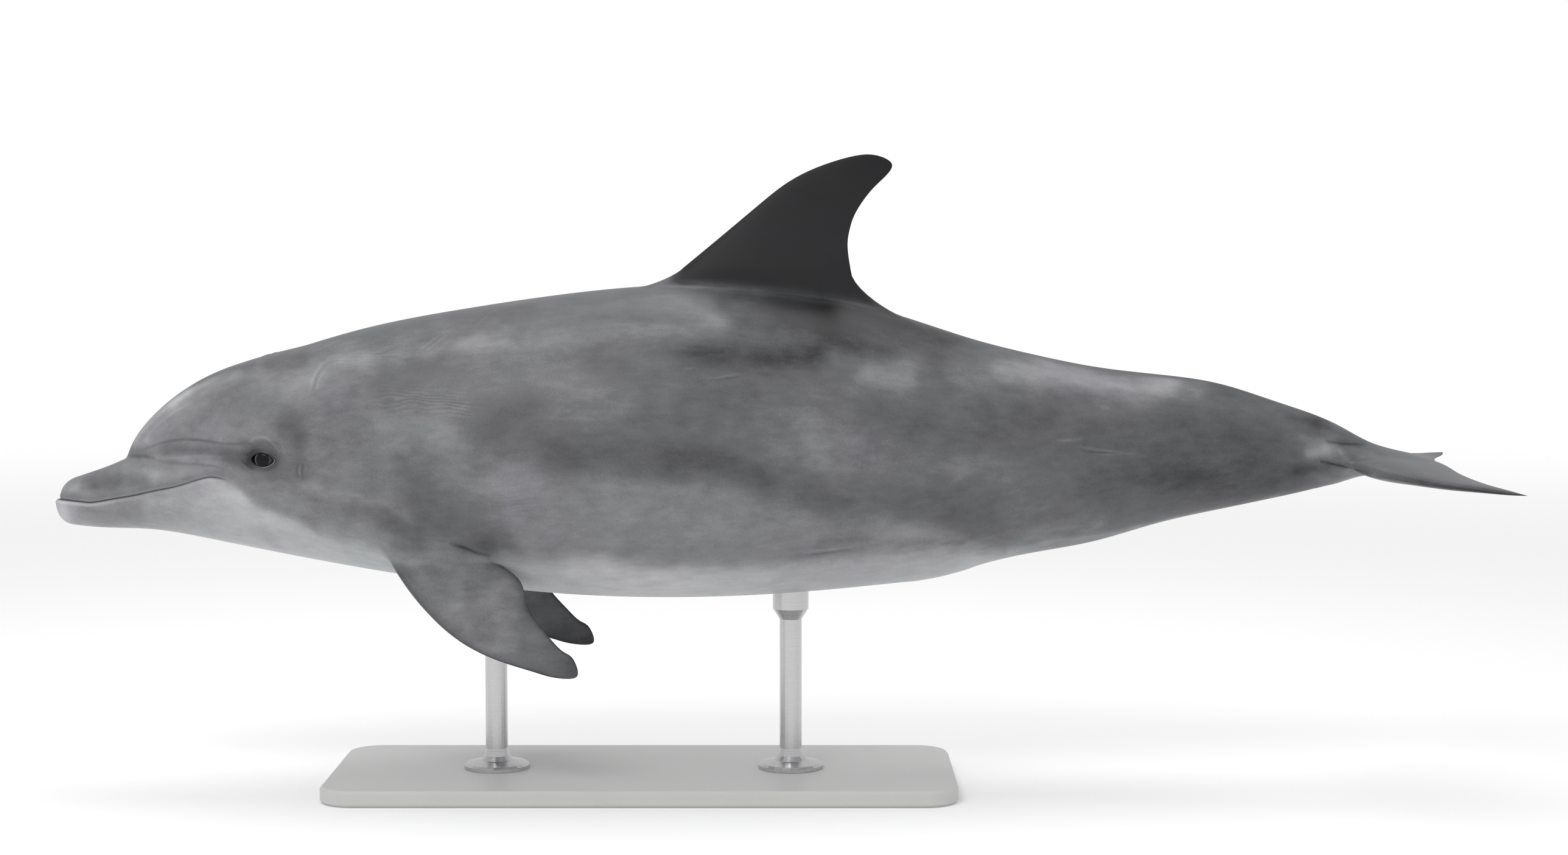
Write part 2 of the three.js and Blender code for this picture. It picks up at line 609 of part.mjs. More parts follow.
// A rod with a foot that flares out onto the base and a collar under the body, cut to the belly's shape.
function standRod(x, body) {
  const foot = STAND_THICK + CUT;
  const profile = [
    [0, foot], [FLANGE_RADIUS, foot], [FLANGE_RADIUS, foot + 6], [FLANGE_RADIUS - 4, foot + 10],
    [ROD_RADIUS + 10, foot + FLANGE_HEIGHT], [ROD_RADIUS + 3, foot + FLANGE_HEIGHT + 8],
    [ROD_RADIUS, foot + FLANGE_HEIGHT + 22], [ROD_RADIUS, COLLAR_UP - 20], [COLLAR_RADIUS, COLLAR_UP],
    [COLLAR_RADIUS, AXIS_HEIGHT - 260], [0, AXIS_HEIGHT - 260],
  ].map(([radius, up]) => new THREE.Vector2(radius, up));
  const rod = new THREE.LatheGeometry(profile, 24).rotateX(PI / 2).translate(x, 0, 0);
  return solid(rod).subtract(body.translate([0, 0, -CUT]));
}

// ---- The model ----------------------------------------------------------------------------------------

const skin = skinSolid();
const jaw = skin.intersect(belowMouth(-MOUTH_GAP / 2, MOUTH_CORNER - CUT / 2));
const withoutJaw = skin.subtract(belowMouth(MOUTH_GAP / 2, MOUTH_CORNER + CUT / 2));
const dorsal = skin.intersect(dorsalBlock(0));
const flipperSolids = [-1, 1].map((side) => skin.intersect(flipperBlock(side, FLIPPER_CUT)));
const trunk = [-1, 1].reduce(
  (left, side) => left.subtract(flipperBlock(side, FLIPPER_CUT - CUT)),
  withoutJaw.subtract(dorsalBlock(CUT)),
);
const piece = (from, to) => trunk.intersect(stretch(from + CUT / 2, to - CUT / 2));

let head = piece(BEAK_END, HEAD_BACK).subtract(blowhole());
for (const side of [-1, 1])
  head = head.add(lids(side)).subtract(eyeSolid(side, EYE_RADIUS + CUT));

const SKIN = { color: 0x6e6e70, roughness: 0.42, metalness: 0 };
const PALE = { color: 0x94989a, roughness: 0.42, metalness: 0 };
const DARK = { color: 0x3c3c3e, roughness: 0.42, metalness: 0 };
const EYE = { color: 0x17130f, roughness: 0.08, metalness: 0 };
const BASE = { color: 0xd8d8d6, roughness: 0.45, metalness: 0.2 };
const STEEL = { color: 0xb4b6b8, roughness: 0.32, metalness: 1 };

const animal = new THREE.Group();
animal.position.set(-STAND_ALONG, 0, AXIS_HEIGHT);

function add(group, name, made, finish) {
  const geometry = made.isBufferGeometry ? made : geometryOf(made);
  const mesh = new THREE.Mesh(geometry, new THREE.MeshStandardMaterial(finish));
  mesh.name = name;
  group.add(mesh);
}

add(animal, "beak_upper", piece(-60, BEAK_END), SKIN);
add(animal, "jaw_lower", jaw, PALE);
add(animal, "head", head, SKIN);
add(animal, "neck", piece(HEAD_BACK, NECK_BACK), SKIN);
add(animal, "chest", piece(NECK_BACK, CHEST_BACK), SKIN);
add(animal, "belly_and_back", piece(CHEST_BACK, MIDDLE_BACK), SKIN);
add(animal, "loin", piece(MIDDLE_BACK, LOIN_BACK), SKIN);
add(animal, "tail_stock_front", piece(LOIN_BACK, STOCK_BACK), SKIN);
add(animal, "tail_stock_rear", piece(STOCK_BACK, FLUKE_ROOT), SKIN);
const flukes = piece(FLUKE_ROOT, FLUKE_TIP + 60);
add(animal, "fluke_left", flukes.intersect(sideBox(-1)), SKIN);
add(animal, "fluke_right", flukes.intersect(sideBox(1)), SKIN);
add(animal, "dorsal_fin", dorsal, DARK);
add(animal, "flipper_left", flipperSolids[0], SKIN);
add(animal, "flipper_right", flipperSolids[1], SKIN);
add(animal, "eye_left", eyeSolid(-1, EYE_RADIUS), EYE);
add(animal, "eye_right", eyeSolid(1, EYE_RADIUS), EYE);

const stand = new THREE.Group();
const bodyInPlace = skin.translate([-STAND_ALONG, 0, AXIS_HEIGHT]);
add(stand, "stand_base", standBase(), BASE);
add(stand, "stand_rod_front", standRod(-ROD_SPREAD / 2, bodyInPlace), STEEL);
add(stand, "stand_rod_rear", standRod(ROD_SPREAD / 2, bodyInPlace), STEEL);

const model = new THREE.Group();
model.add(animal, stand);

export default model;
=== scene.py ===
"""A life-size bottlenose dolphin in a level glide on its display stand: skin, eyes, finishes, lights, camera.

The skin is one closed sheet. Its rings run from the snout to the tail and fan out into the flukes, the
dorsal fin and flippers grow out of it, and finer loops of it make the lids and line the eye sockets.
Places on the body are millimetres: `along` behind the tip of the lower jaw, `across` towards the animal's
right, and `up` above its long axis. `round` is the angle round the body, 0 at the back, pi / 2 at the left
flank and pi at the belly. The sheet is turned into metres in the stand's frame when its mesh is made.
"""
import math
import bpy
import numpy as np
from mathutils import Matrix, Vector, noise


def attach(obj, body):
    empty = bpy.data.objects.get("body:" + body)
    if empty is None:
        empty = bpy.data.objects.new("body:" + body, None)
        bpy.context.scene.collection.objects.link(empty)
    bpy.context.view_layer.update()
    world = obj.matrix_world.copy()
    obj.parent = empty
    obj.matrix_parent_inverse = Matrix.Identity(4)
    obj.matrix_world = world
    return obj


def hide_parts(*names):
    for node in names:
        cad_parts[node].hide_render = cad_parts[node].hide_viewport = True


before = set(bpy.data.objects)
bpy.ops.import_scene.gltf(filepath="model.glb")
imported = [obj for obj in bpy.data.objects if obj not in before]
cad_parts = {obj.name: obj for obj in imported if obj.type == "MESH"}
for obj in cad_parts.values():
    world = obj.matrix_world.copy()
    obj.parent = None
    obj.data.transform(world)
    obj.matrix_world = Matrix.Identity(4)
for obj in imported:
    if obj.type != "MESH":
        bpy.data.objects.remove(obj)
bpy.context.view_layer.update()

PI = math.pi

# ---- Driving dimensions, the solids' own -------------------------------------------------------------

SNOUT_TO_NOTCH = 2600.0
AXIS_HEIGHT = 680.0
STAND_ALONG = 1110.0

BEAK_START = 9.0
LIP_ROUND = 9.0  # how far the lower lip's edge rounds over
MOUTH_CORNER = 346.0
FLUKE_ROOT = 2380.0
FLUKE_HALF_SPAN = 320.0
FLUKE_TIP = 2700.0
FLUKE_BULK = 0.095
FLUKE_DROOP = 25.0
TAIL_TWIST = 2.3
FIN_END = 0.02

EYE_ALONG = 418.0
EYE_UP = -49.0
EYE_RADIUS = 22.0
EYE_DEPTH = 16.0  # the ball's centre below the skin round it

BLOWHOLE_ALONG = 412.0
BLOWHOLE_RADIUS = 15.0
BLOWHOLE_HALF_TURN = 1.15
BLOWHOLE_DEPTH = 7.0


# ---- Curves and sections -----------------------------------------------------------------------------


class Curve:
    """A smooth curve through (at, value) pairs: the natural cubic spline, straight beyond both ends."""

    def __init__(self, *points):
        self.at, self.value = np.array(points, float).T
        count = len(self.at)
        self.gap = np.diff(self.at)
        self.slope = np.diff(self.value) / self.gap
        rows = np.eye(count)
        sides = np.zeros(count)
        for i in range(1, count - 1):
            rows[i, i - 1 : i + 2] = self.gap[i - 1], 2 * (self.gap[i - 1] + self.gap[i]), self.gap[i]
            sides[i] = 6 * (self.slope[i] - self.slope[i - 1])
        self.bend = np.linalg.solve(rows, sides)

    def __call__(self, at):
        at = np.asarray(at, float)
        i = np.clip(np.searchsorted(self.at, at) - 1, 0, len(self.at) - 2)
        d = self.gap[i]
        b = (at - self.at[i]) / d
        a = 1 - b
        inside = a * self.value[i] + b * self.value[i + 1]
        inside = inside + ((a**3 - a) * self.bend[i] + (b**3 - b) * self.bend[i + 1]) * d * d / 6
        before = self.value[0] + b * d * (self.slope[0] - d * self.bend[1] / 6)
        after = self.value[-1] - a * d * (self.slope[i] + d * self.bend[i] / 6)
        return np.where(a > 1, before, np.where(b > 1, after, inside))


def smooth_step(low, high, at):
    t = np.clip((np.asarray(at, float) - low) / (high - low), 0, 1)
    return t * t * (3 - 2 * t)


def bell(width, at):
    """1 at the middle, falling softly to 0 beyond about twice that width."""
    return np.exp(-((np.asarray(at, float) / width) ** 2))


def section_radius(angle, half_width, half_height, squareness):
    across = np.abs(np.sin(angle) / half_width) ** squareness
    upright = np.abs(np.cos(angle) / half_height) ** squareness
    return (across + upright) ** (-1 / squareness)


def blunt_nose(depth, at):
    left = 1 - np.clip(at, 0, depth) / depth
    return (1 - left**2.5) ** 0.4


back_line = Curve(
    (9, -104), (43, -92), (90, -76), (131, -59), (200, -18), (290, 60), (400, 128), (480, 157),
    (588, 188), (760, 222), (932, 248), (1104, 266), (1220, 269), (1341, 261), (1480, 241),
    (1598, 211), (1735, 167), (1850, 138), (1965, 115), (2100, 99), (2196, 84), (2311, 48),
    (2427, 3), (2485, -29), (2560, -49), (2600, -54),
)
belly_line = Curve(
    (9, -178), (40, -184), (87, -189), (180, -192), (295, -210), (410, -233), (583, -265),
    (760, -292), (960, -313), (1160, -320), (1391, -312), (1564, -297), (1680, -280), (1761, -257),
    (1830, -241), (1968, -215), (2083, -182), (2198, -156), (2313, -132), (2428, -102),
    (2485, -82), (2560, -69), (2600, -67),
)
half_width = Curve(
    (9, 33), (40, 39), (80, 45), (136, 58), (200, 79), (270, 102), (344, 124), (418, 145),
    (500, 164), (600, 188), (712, 211), (850, 231), (1000, 241), (1150, 241), (1300, 232),
    (1450, 213), (1600, 186), (1750, 156), (1900, 128), (2050, 101), (2200, 75), (2320, 51),
    (2400, 37), (2500, 30), (2600, 24),
)
widest_up = Curve(
    (9, -133), (76, -130), (136, -120), (200, -108), (300, -92), (418, -76), (500, -68),
    (700, -62), (1000, -58), (1400, -52), (1700, -48), (2000, -47), (2300, -42), (2420, -50),
    (2485, -57), (2600, -61),
)
STOCK_SQUARENESS = 1.7
square_above = Curve(
    (8, 2.4), (136, 2.3), (300, 2.1), (600, 2), (1100, 1.9), (1700, 1.75), (2250, STOCK_SQUARENESS),
    (2400, STOCK_SQUARENESS),
)
square_below = Curve(
    (8, 2.3), (150, 2.4), (344, 2.3), (600, 2.2), (1400, 2.15), (1900, 1.8), (2250, STOCK_SQUARENESS),
    (2400, STOCK_SQUARENESS),
)
melon_top = Curve(
    (131, -68), (143, -38), (159, -10), (182, 18), (215, 49), (260, 81), (323, 112), (400, 133),
    (440, 136), (500, 128), (560, 110),
)
melon_half_width = Curve(
    (131, 8), (145, 34), (163, 52), (200, 72), (270, 94), (344, 119), (400, 134), (470, 142),
)
melon_squareness = Curve((128, 3), (200, 2.5), (300, 2.2), (420, 2.1))
crease_reach = Curve((128, 7), (200, 9), (300, 16), (400, 24), (520, 30))
MELON_FROM = 128.0
MELON_TO = 560.0

mouth_line = Curve(
    (6, -133), (28, -134), (50, -136), (74, -138), (96, -135), (127, -129), (164, -122), (201, -113),
    (239, -105), (270, -96), (295, -88), (314, -84), (332, -85), (346, -88),
)


def jaw_reach(along, up):
    """How far the lower jaw's skin is drawn forward, past the upper jaw."""
    deep = np.clip((mouth_line(along) - up + 1) / LIP_ROUND, 0, 1)
    below = deep * (2 - deep)
    return BEAK_START * below * (1 - smooth_step(BEAK_START, 95, along))


def twisted(along, across, up):
    """The tail's slight roll about its own axis."""
    turn = math.radians(TAIL_TWIST) * smooth_step(1900, 2520, along)
    centre = widest_up(along)
    rolled_across = across * np.cos(turn) - (up - centre) * np.sin(turn)
    rolled_up = centre + across * np.sin(turn) + (up - centre) * np.cos(turn)
    return np.stack([along, rolled_across, rolled_up], -1)


def body_point(along, round_):
    along, round_ = np.broadcast_arrays(np.asarray(along, float), np.asarray(round_, float))
    centre = widest_up(along)
    upper = np.cos(round_) >= 0
    nose = np.where(upper, blunt_nose(30, along - BEAK_START), blunt_nose(31, along - BEAK_START))
    wide = half_width(along) * blunt_nose(36, along - BEAK_START)
    tall = np.where(upper, back_line(along) - centre, centre - belly_line(along)) * nose
    angle = np.arctan2(wide * np.sin(round_), tall * np.cos(round_))
    squareness = np.where(upper, square_above(along), square_below(along))
    radius = section_radius(angle, wide, tall, squareness)
    in_melon = upper & (along > MELON_FROM) & (along < MELON_TO)
    at = np.where(in_melon, along, 300.0)
    melon = section_radius(angle, melon_half_width(at), melon_top(at) - widest_up(at), melon_squareness(at))
    reach = crease_reach(at)
    near = np.maximum(reach - np.abs(radius - melon), 0)
    joined = np.maximum(radius, melon) + near * near / (4 * reach)
    blend = smooth_step(0, 0.3, np.cos(round_))
    radius = np.where(in_melon, radius + (joined - radius) * blend, radius)
    up = centre + radius * np.cos(angle)
    return twisted(along - jaw_reach(along, up), -radius * np.sin(angle), up)


def round_at(along, up):
    """Round the body to where its left side is at that height."""
    along, up = np.broadcast_arrays(np.asarray(along, float), np.asarray(up, float))
    low, high = np.zeros(along.shape), np.full(along.shape, PI)
    for _ in range(40):
        middle = (low + high) / 2
        above = body_point(along, middle)[..., 2] > up
        low, high = np.where(above, middle, low), np.where(above, high, middle)
    return low


# ---- The flukes --------------------------------------------------------------------------------------


def fin_section(share):
    c = np.clip(share, 0, 1)
    return 0.85 * np.sqrt(c) * (1 - c) ** 0.9 / 0.4015 + 0.15 * np.sqrt(4 * c * (1 - c))


root_half_width = float(half_width(FLUKE_ROOT))
fluke_front = [
    (0, FLUKE_ROOT, root_half_width), (0.08, 2404, 45), (0.2, 2437, 80), (0.4, 2498, 146),
    (0.6, 2562, 203), (0.8, 2628, 258), (0.92, 2671, 298), (1, FLUKE_TIP, FLUKE_HALF_SPAN),
]
front_along = Curve(*[(t, along) for t, along, _ in fluke_front])
front_across = Curve(*[(t, across) for t, _, across in fluke_front])
front_at = Curve((0, 2366), *[(across, along) for _, along, across in fluke_front])
rear_at = Curve(
    (0, SNOUT_TO_NOTCH), (14, 2608), (40, 2619), (90, 2628), (150, 2643), (215, 2665), (270, 2687),
    (FLUKE_HALF_SPAN, FLUKE_TIP),
)


def fluke_point(row, round_):
    """A point of the flukes, from the fan's row, 0 at the root and 1 at the rear edge."""
    out = np.abs(np.sin(round_)) * section_radius(round_, 1, 1, STOCK_SQUARENESS)
    inner = FLUKE_ROOT + (SNOUT_TO_NOTCH - FLUKE_ROOT) * row
    rear_centre = (1 - out) * SNOUT_TO_NOTCH + out * FLUKE_TIP
    along = (1 - out) * inner + out * front_along(row)
    along = along + row * (rear_at(FLUKE_HALF_SPAN * out) - rear_centre)
    across = out * front_across(row)
    upper = np.cos(round_) >= 0
    stock_along = np.minimum(along, SNOUT_TO_NOTCH)
    centre = widest_up(stock_along)
    tall = np.where(upper, back_line(stock_along) - centre, centre - belly_line(stock_along))
    spread = smooth_step(FLUKE_ROOT, FLUKE_ROOT + 80, stock_along)
    stock = np.maximum(1 - out**STOCK_SQUARENESS, 0) ** (1 / STOCK_SQUARENESS)
    ridge = (1 - np.minimum(1, across / (2.3 * half_width(stock_along))) ** 2) ** 2
    ridge = tall * ((1 - spread) * stock + spread * ridge)
    chord = np.maximum(1, rear_at(across) - front_at(across))
    blade = FLUKE_BULK * chord * fin_section((along - front_at(across)) / chord)
    thick = ((ridge * (1 - row**6)) ** 4 + blade**4) ** 0.25
    thick = np.where((row > 0.999) | (out > 0.9999), 0, thick)
    droop = FLUKE_DROOP * (1 - (1 - across / FLUKE_HALF_SPAN) ** 2)
    side = -np.sign(np.sin(round_))
    return twisted(along, side * across, centre - droop + np.where(upper, thick, -thick))


# ---- The dorsal fin and the flippers -----------------------------------------------------------------

# Ribs are (share of the span, front edge, rear edge), with edges as (chordwise, spanwise).
dorsal_ribs = [
    (0, (1188, 302), (1503, 297)), (0.25, (1262, 363), (1497, 343)), (0.5, (1341, 429), (1502, 378)),
    (0.75, (1437, 489), (1523, 423)), (0.86, (1503, 510), (1549, 455)), (0.945, (1553, 512), (1574, 480)),
]
flipper_ribs = [
    (0, (660, 34), (853, 27)), (0.2, (690, 77), (893, 58)), (0.4, (728, 121), (905, 97)),
    (0.6, (785, 170), (924, 134)), (0.8, (872, 211), (954, 169)), (0.9, (928, 228), (978, 191)),
    (0.97, (975, 238), (998, 212)),
]
FLIPPER_ACROSS = 153.0
FLIPPER_UP = -215.0


def place_dorsal(chordwise, spanwise, aside):
    return np.stack([chordwise, -aside, spanwise], -1)


def flipper_placer(side, splay):
    """Sets a flipper's own plane onto the body. Side is -1 for the left one, splay is from straight down."""

    def place(chordwise, spanwise, aside):
        bow = -8 * np.sin(PI * np.minimum(spanwise, 230) / 230)
        out = aside * side - bow
        across = side * (FLIPPER_ACROSS + spanwise * math.sin(splay) + out * math.cos(splay))
        up = FLIPPER_UP - spanwise * math.cos(splay) + out * math.sin(splay)
        return np.stack([chordwise, across, up], -1)

    return place


# ---- The skin's sheet of rings and steps ---------------------------------------------------------------

STEPS = 160
HALF_STEPS = STEPS // 2
FIN_STRIP = 4  # half the width, in steps, of the strip that a fin grows from
FLIPPER_STEP = 60  # the middle of that strip round the left side
EYE_STEPS = 8
DORSAL_FROM, DORSAL_TO = 1105.0, 1600.0
FLIPPER_FROM, FLIPPER_TO = 622.0, 838.0
EYE_FROM, EYE_TO = 385.0, 451.0


def evenly(start, stop, gap):
    """Places after start up to stop, as near that gap apart as comes out even."""
    count = max(1, round((stop - start) / gap))
    return list(np.linspace(start, stop, count + 1)[1:])


ring_places = np.array(
    [9.15, 9.6, 10.3, 11.3, 12.6, 14.2, 16, 18.2, 20.8, 23.8, 27]
    + evenly(27, 120, 3) + evenly(120, 170, 2) + evenly(170, EYE_FROM, 3) + evenly(EYE_FROM, EYE_TO, 2.2)
    + evenly(EYE_TO, 500, 4) + evenly(500, FLIPPER_FROM, 7) + evenly(FLIPPER_FROM, FLIPPER_TO, 8)
    + evenly(FLIPPER_TO, DORSAL_FROM, 10) + evenly(DORSAL_FROM, DORSAL_TO, 9.9)
    + evenly(DORSAL_TO, FLUKE_ROOT, 10)
)
fluke_rows = np.sin(np.linspace(0, 1, 53)[1:] * PI / 2) ** 1.15
eye_round = float(round_at(EYE_ALONG, EYE_UP))


def crowded(share, amount, width):
    """Draws shares from -1 to 1 together near 0, where they end up that much closer than they were."""
    return share - (1 - amount) * share * bell(width, share)


def step_rounds(along):
    """The angles of all rings' steps, closer together at the mouth, eyes, blowhole and belly slit."""
    along = np.asarray(along, float)[:, None]
    step = np.linspace(0, PI, HALF_STEPS + 1)[None]
    in_mouth = np.minimum(along, MOUTH_CORNER)
    mouth = round_at(in_mouth, mouth_line(in_mouth))
    to_eye = smooth_step(MOUTH_CORNER, 395, along)
    fade = 1 - smooth_step(470, 590, along)
    middle = PI / 2 + fade * ((1 - to_eye) * mouth + to_eye * eye_round - PI / 2)
    blowhole = smooth_step(345, 385, along) * (1 - smooth_step(440, 490, along))
    slit = smooth_step(1350, 1420, along) * (1 - smooth_step(1800, 1880, along))
    step = PI * crowded(step / PI, 1 - 0.72 * blowhole, 0.13)
    step = PI - PI * crowded(1 - step / PI, 1 - 0.6 * slit, 0.12)
    share = step / (PI / 2) - 1
    share = crowded(share, 1 - fade * (0.8 - 0.12 * to_eye), 0.22 + 0.13 * to_eye)
    side = PI / 2 * (1 + share) + (middle - PI / 2) * (1 - share**2) ** 2
    return np.concatenate([side, 2 * PI - side[:, -2:0:-1]], 1)


class Sheet:
    """The skin while it is put together: points, their places on the body, faces and their map corners."""

    def __init__(self):
        self.points, self.alongs, self.kinds, self.shares, self.spans = [], [], [], [], []
        self.count = 0
        self.faces, self.corners = [], []

    def add(self, points, along, kind, share=0.0, span=0.0):
        """Adds points and gives their numbers. Share and span say where a point lies in its fin."""
        points = np.asarray(points, float).reshape(-1, 3)
        count = len(points)
        self.points.append(points)
        for store, value in (
            (self.alongs, along), (self.kinds, kind), (self.shares, share), (self.spans, span)
        ):
            store.append(np.broadcast_to(np.asarray(value, float), (count,)))
        numbers = np.arange(self.count, self.count + count)
        self.count += count
        return numbers

    def close(self):
        self.points = np.concatenate(self.points)
        self.along = np.concatenate(self.alongs)
        self.kind = np.concatenate(self.kinds)
        self.share = np.concatenate(self.shares)
        self.span = np.concatenate(self.spans)

    def quads(self, numbers, maps):
        """Faces from (n, 4) numbers and their (n, 4, 2) map corners."""
        self.faces.extend(np.asarray(numbers).reshape(-1, 4).tolist())
        self.corners.append(np.asarray(maps, float).reshape(-1, 2))

    def fan(self, tip, loop, tip_map, loop_maps, flip=False):
        """Triangles from a closed loop to a tip. Loop maps has one place more than the loop."""
        for k in range(len(loop)):
            pair = (k, k + 1) if not flip else (k + 1, k)
            self.faces.append([int(tip)] + [int(loop[p % len(loop)]) for p in pair])
            self.corners.append(np.array([tip_map] + [loop_maps[p] for p in pair], float))


BODY, FIN, FLIPPER, FLUKE, SOCKET = 0, 1, 2, 3, 4

# The map's main strip takes the body and flukes. The seam is along the belly.
MAP_MARGIN = 0.01
STRIP_HIGH = 0.62
FIN_MAPS = {"dorsal": (0.01, 0.46), "left": (0.48, 0.72), "right": (0.74, 0.99)}
FIN_MAP_LOW, FIN_MAP_HIGH = 0.65, 0.99
map_along = Curve((0, MAP_MARGIN), (470, 0.27), (900, 0.41), (2380, 0.88), (2700, 0.99))


def strip_map(along, round_):
    """Place in the map's strip. Round runs on from the belly, so it's taken from -pi to pi."""
    high = MAP_MARGIN + (STRIP_HIGH - MAP_MARGIN) * (round_ + PI) / (2 * PI)
    return np.stack(np.broadcast_arrays(map_along(along), high), -1)


sheet = Sheet()

ring_round = step_rounds(ring_places)
ring_numbers = []
for along, rounds in zip(ring_places, ring_round):
    ring_numbers.append(sheet.add(body_point(along, rounds), along, BODY))
even_rounds = np.linspace(0, 2 * PI, STEPS + 1)[:-1]
for row in fluke_rows[:-1]:
    ring_numbers.append(sheet.add(fluke_point(row, even_rounds), FLUKE_ROOT + 320 * row, FLUKE, row))
rear = fluke_point(1.0, even_rounds)
upper_half = np.cos(even_rounds) > -1e-9
rear_numbers = np.full(STEPS, -1)
rear_numbers[upper_half] = sheet.add(rear[upper_half], FLUKE_TIP, FLUKE, 1.0)
mirrored = (HALF_STEPS - np.arange(STEPS)) % STEPS
rear_numbers[~upper_half] = rear_numbers[mirrored[~upper_half]]
ring_numbers.append(rear_numbers)
ring_numbers = np.array(ring_numbers)
all_alongs = np.concatenate([ring_places, FLUKE_ROOT + 320 * fluke_rows])
all_rounds = np.concatenate([ring_round, np.tile(even_rounds, (len(fluke_rows), 1))])


def ring_index(along):
    return int(np.argmin(np.abs(ring_places - along)))


def signed_round(rounds, step):
    """The angle as -pi to pi, where the step before the belly's own counts as the far end."""
    angle = np.where(step > HALF_STEPS, rounds - 2 * PI, rounds)
    return angle


def window(first_ring, last_ring, first_step, last_step):
    """Whether each face of the sheet lies between those rings and steps."""
    ring, step = np.mgrid[0 : len(ring_numbers) - 1, 0:STEPS]
    step = np.where(step > HALF_STEPS, step - STEPS, step)
    inside = (ring >= first_ring) & (ring < last_ring)
    return inside & (step >= first_step) & (step < last_step)


dorsal_window = (ring_index(DORSAL_FROM), ring_index(DORSAL_TO), -FIN_STRIP, FIN_STRIP)
left_window = (
    ring_index(FLIPPER_FROM), ring_index(FLIPPER_TO), FLIPPER_STEP - FIN_STRIP, FLIPPER_STEP + FIN_STRIP
)
right_window = (*left_window[:2], -FLIPPER_STEP - FIN_STRIP, -FLIPPER_STEP + FIN_STRIP)
left_eye_window = (ring_index(EYE_FROM), ring_index(EYE_TO), HALF_STEPS // 2 - EYE_STEPS, HALF_STEPS // 2 + EYE_STEPS)
right_eye_window = (*left_eye_window[:2], -left_eye_window[3], -left_eye_window[2])


def lay_body():
    """The faces between neighbouring rings, but for the windows that fins and eyes fill."""
    taken = np.zeros((len(ring_numbers) - 1, STEPS), bool)
    for place in (dorsal_window, left_window, right_window, left_eye_window, right_eye_window):
        taken |= window(*place)
    ring, step = np.nonzero(~taken)
    after = (step + 1) % STEPS
    numbers = np.stack(
        [ring_numbers[ring, step], ring_numbers[ring, after], ring_numbers[ring + 1, after],
         ring_numbers[ring + 1, step]], -1
    )
    far_side = step >= HALF_STEPS
    maps = []
    for r, s in ((ring, step), (ring, after), (ring + 1, after), (ring + 1, step)):
        angle = all_rounds[r, s]
        angle = np.where(far_side, np.where(s == 0, 0, angle - 2 * PI), angle)
        maps.append(strip_map(all_alongs[r], angle))
    sheet.quads(numbers, np.stack(maps, 1))


def cap_snout():
    tip = sheet.add([[BEAK_START - 2, 0, widest_up(BEAK_START)]], BEAK_START, BODY)[0]
    loop = ring_numbers[0]
    signed = np.where(np.arange(STEPS) > HALF_STEPS, ring_round[0] - 2 * PI, ring_round[0])
    middle = strip_map(0.0, 0.0)
    maps = [strip_map(BEAK_START, angle) for angle in signed] + [strip_map(BEAK_START, 0.0)]
    sheet.fan(tip, loop, middle, maps, flip=True)


# ---- Fins ----------------------------------------------------------------------------------------------

FILLET_ROWS = 9
fin_levels = 1 - (1 - np.linspace(0, 1, 37)[1:-1]) ** 1.6


def fin_base(place):
    """The loop of numbers round a fin's base, with each one's share of the chord and side of the fin, and the
    number just outside it."""
    first_ring, last_ring, first_step, last_step = place
    wide, long = last_step - first_step, last_ring - first_ring
    loop = []

    def push(ring, step, out_ring, out_step, share, side):
        loop.append((ring_numbers[ring, step % STEPS], ring_numbers[out_ring, out_step % STEPS], share, side))

    for k in range(wide):
        tilt = math.sin(PI * (k / wide - 0.5))
        push(first_ring, first_step + k, first_ring - 1, first_step + k - (k == 0), FIN_END * tilt * tilt, tilt)
    for k in range(long):
        share = FIN_END + (1 - 2 * FIN_END) * k / long
        push(first_ring + k, last_step, first_ring + k - (k == 0), last_step + 1, share, 1)
    for k in range(wide):
        tilt = math.sin(PI * (0.5 - k / wide))
        push(last_ring, last_step - k, last_ring + 1, last_step - k + (k == 0), 1 - FIN_END * tilt * tilt, tilt)
    for k in range(long):
        share = 1 - FIN_END - (1 - 2 * FIN_END) * k / long
        push(last_ring - k, first_step, last_ring - k + (k == 0), first_step - 1, share, -1)
    numbers, outside, share, side = map(np.array, zip(*loop))
    return numbers, outside, share, side


def eased(loop, strength, times):
    """Values round a loop drawn towards their neighbours' middle, which takes the kinks out of it."""
    for _ in range(times):
        loop = loop + strength * ((np.roll(loop, 1, 0) + np.roll(loop, -1, 0)) / 4 - loop / 2)
    return loop


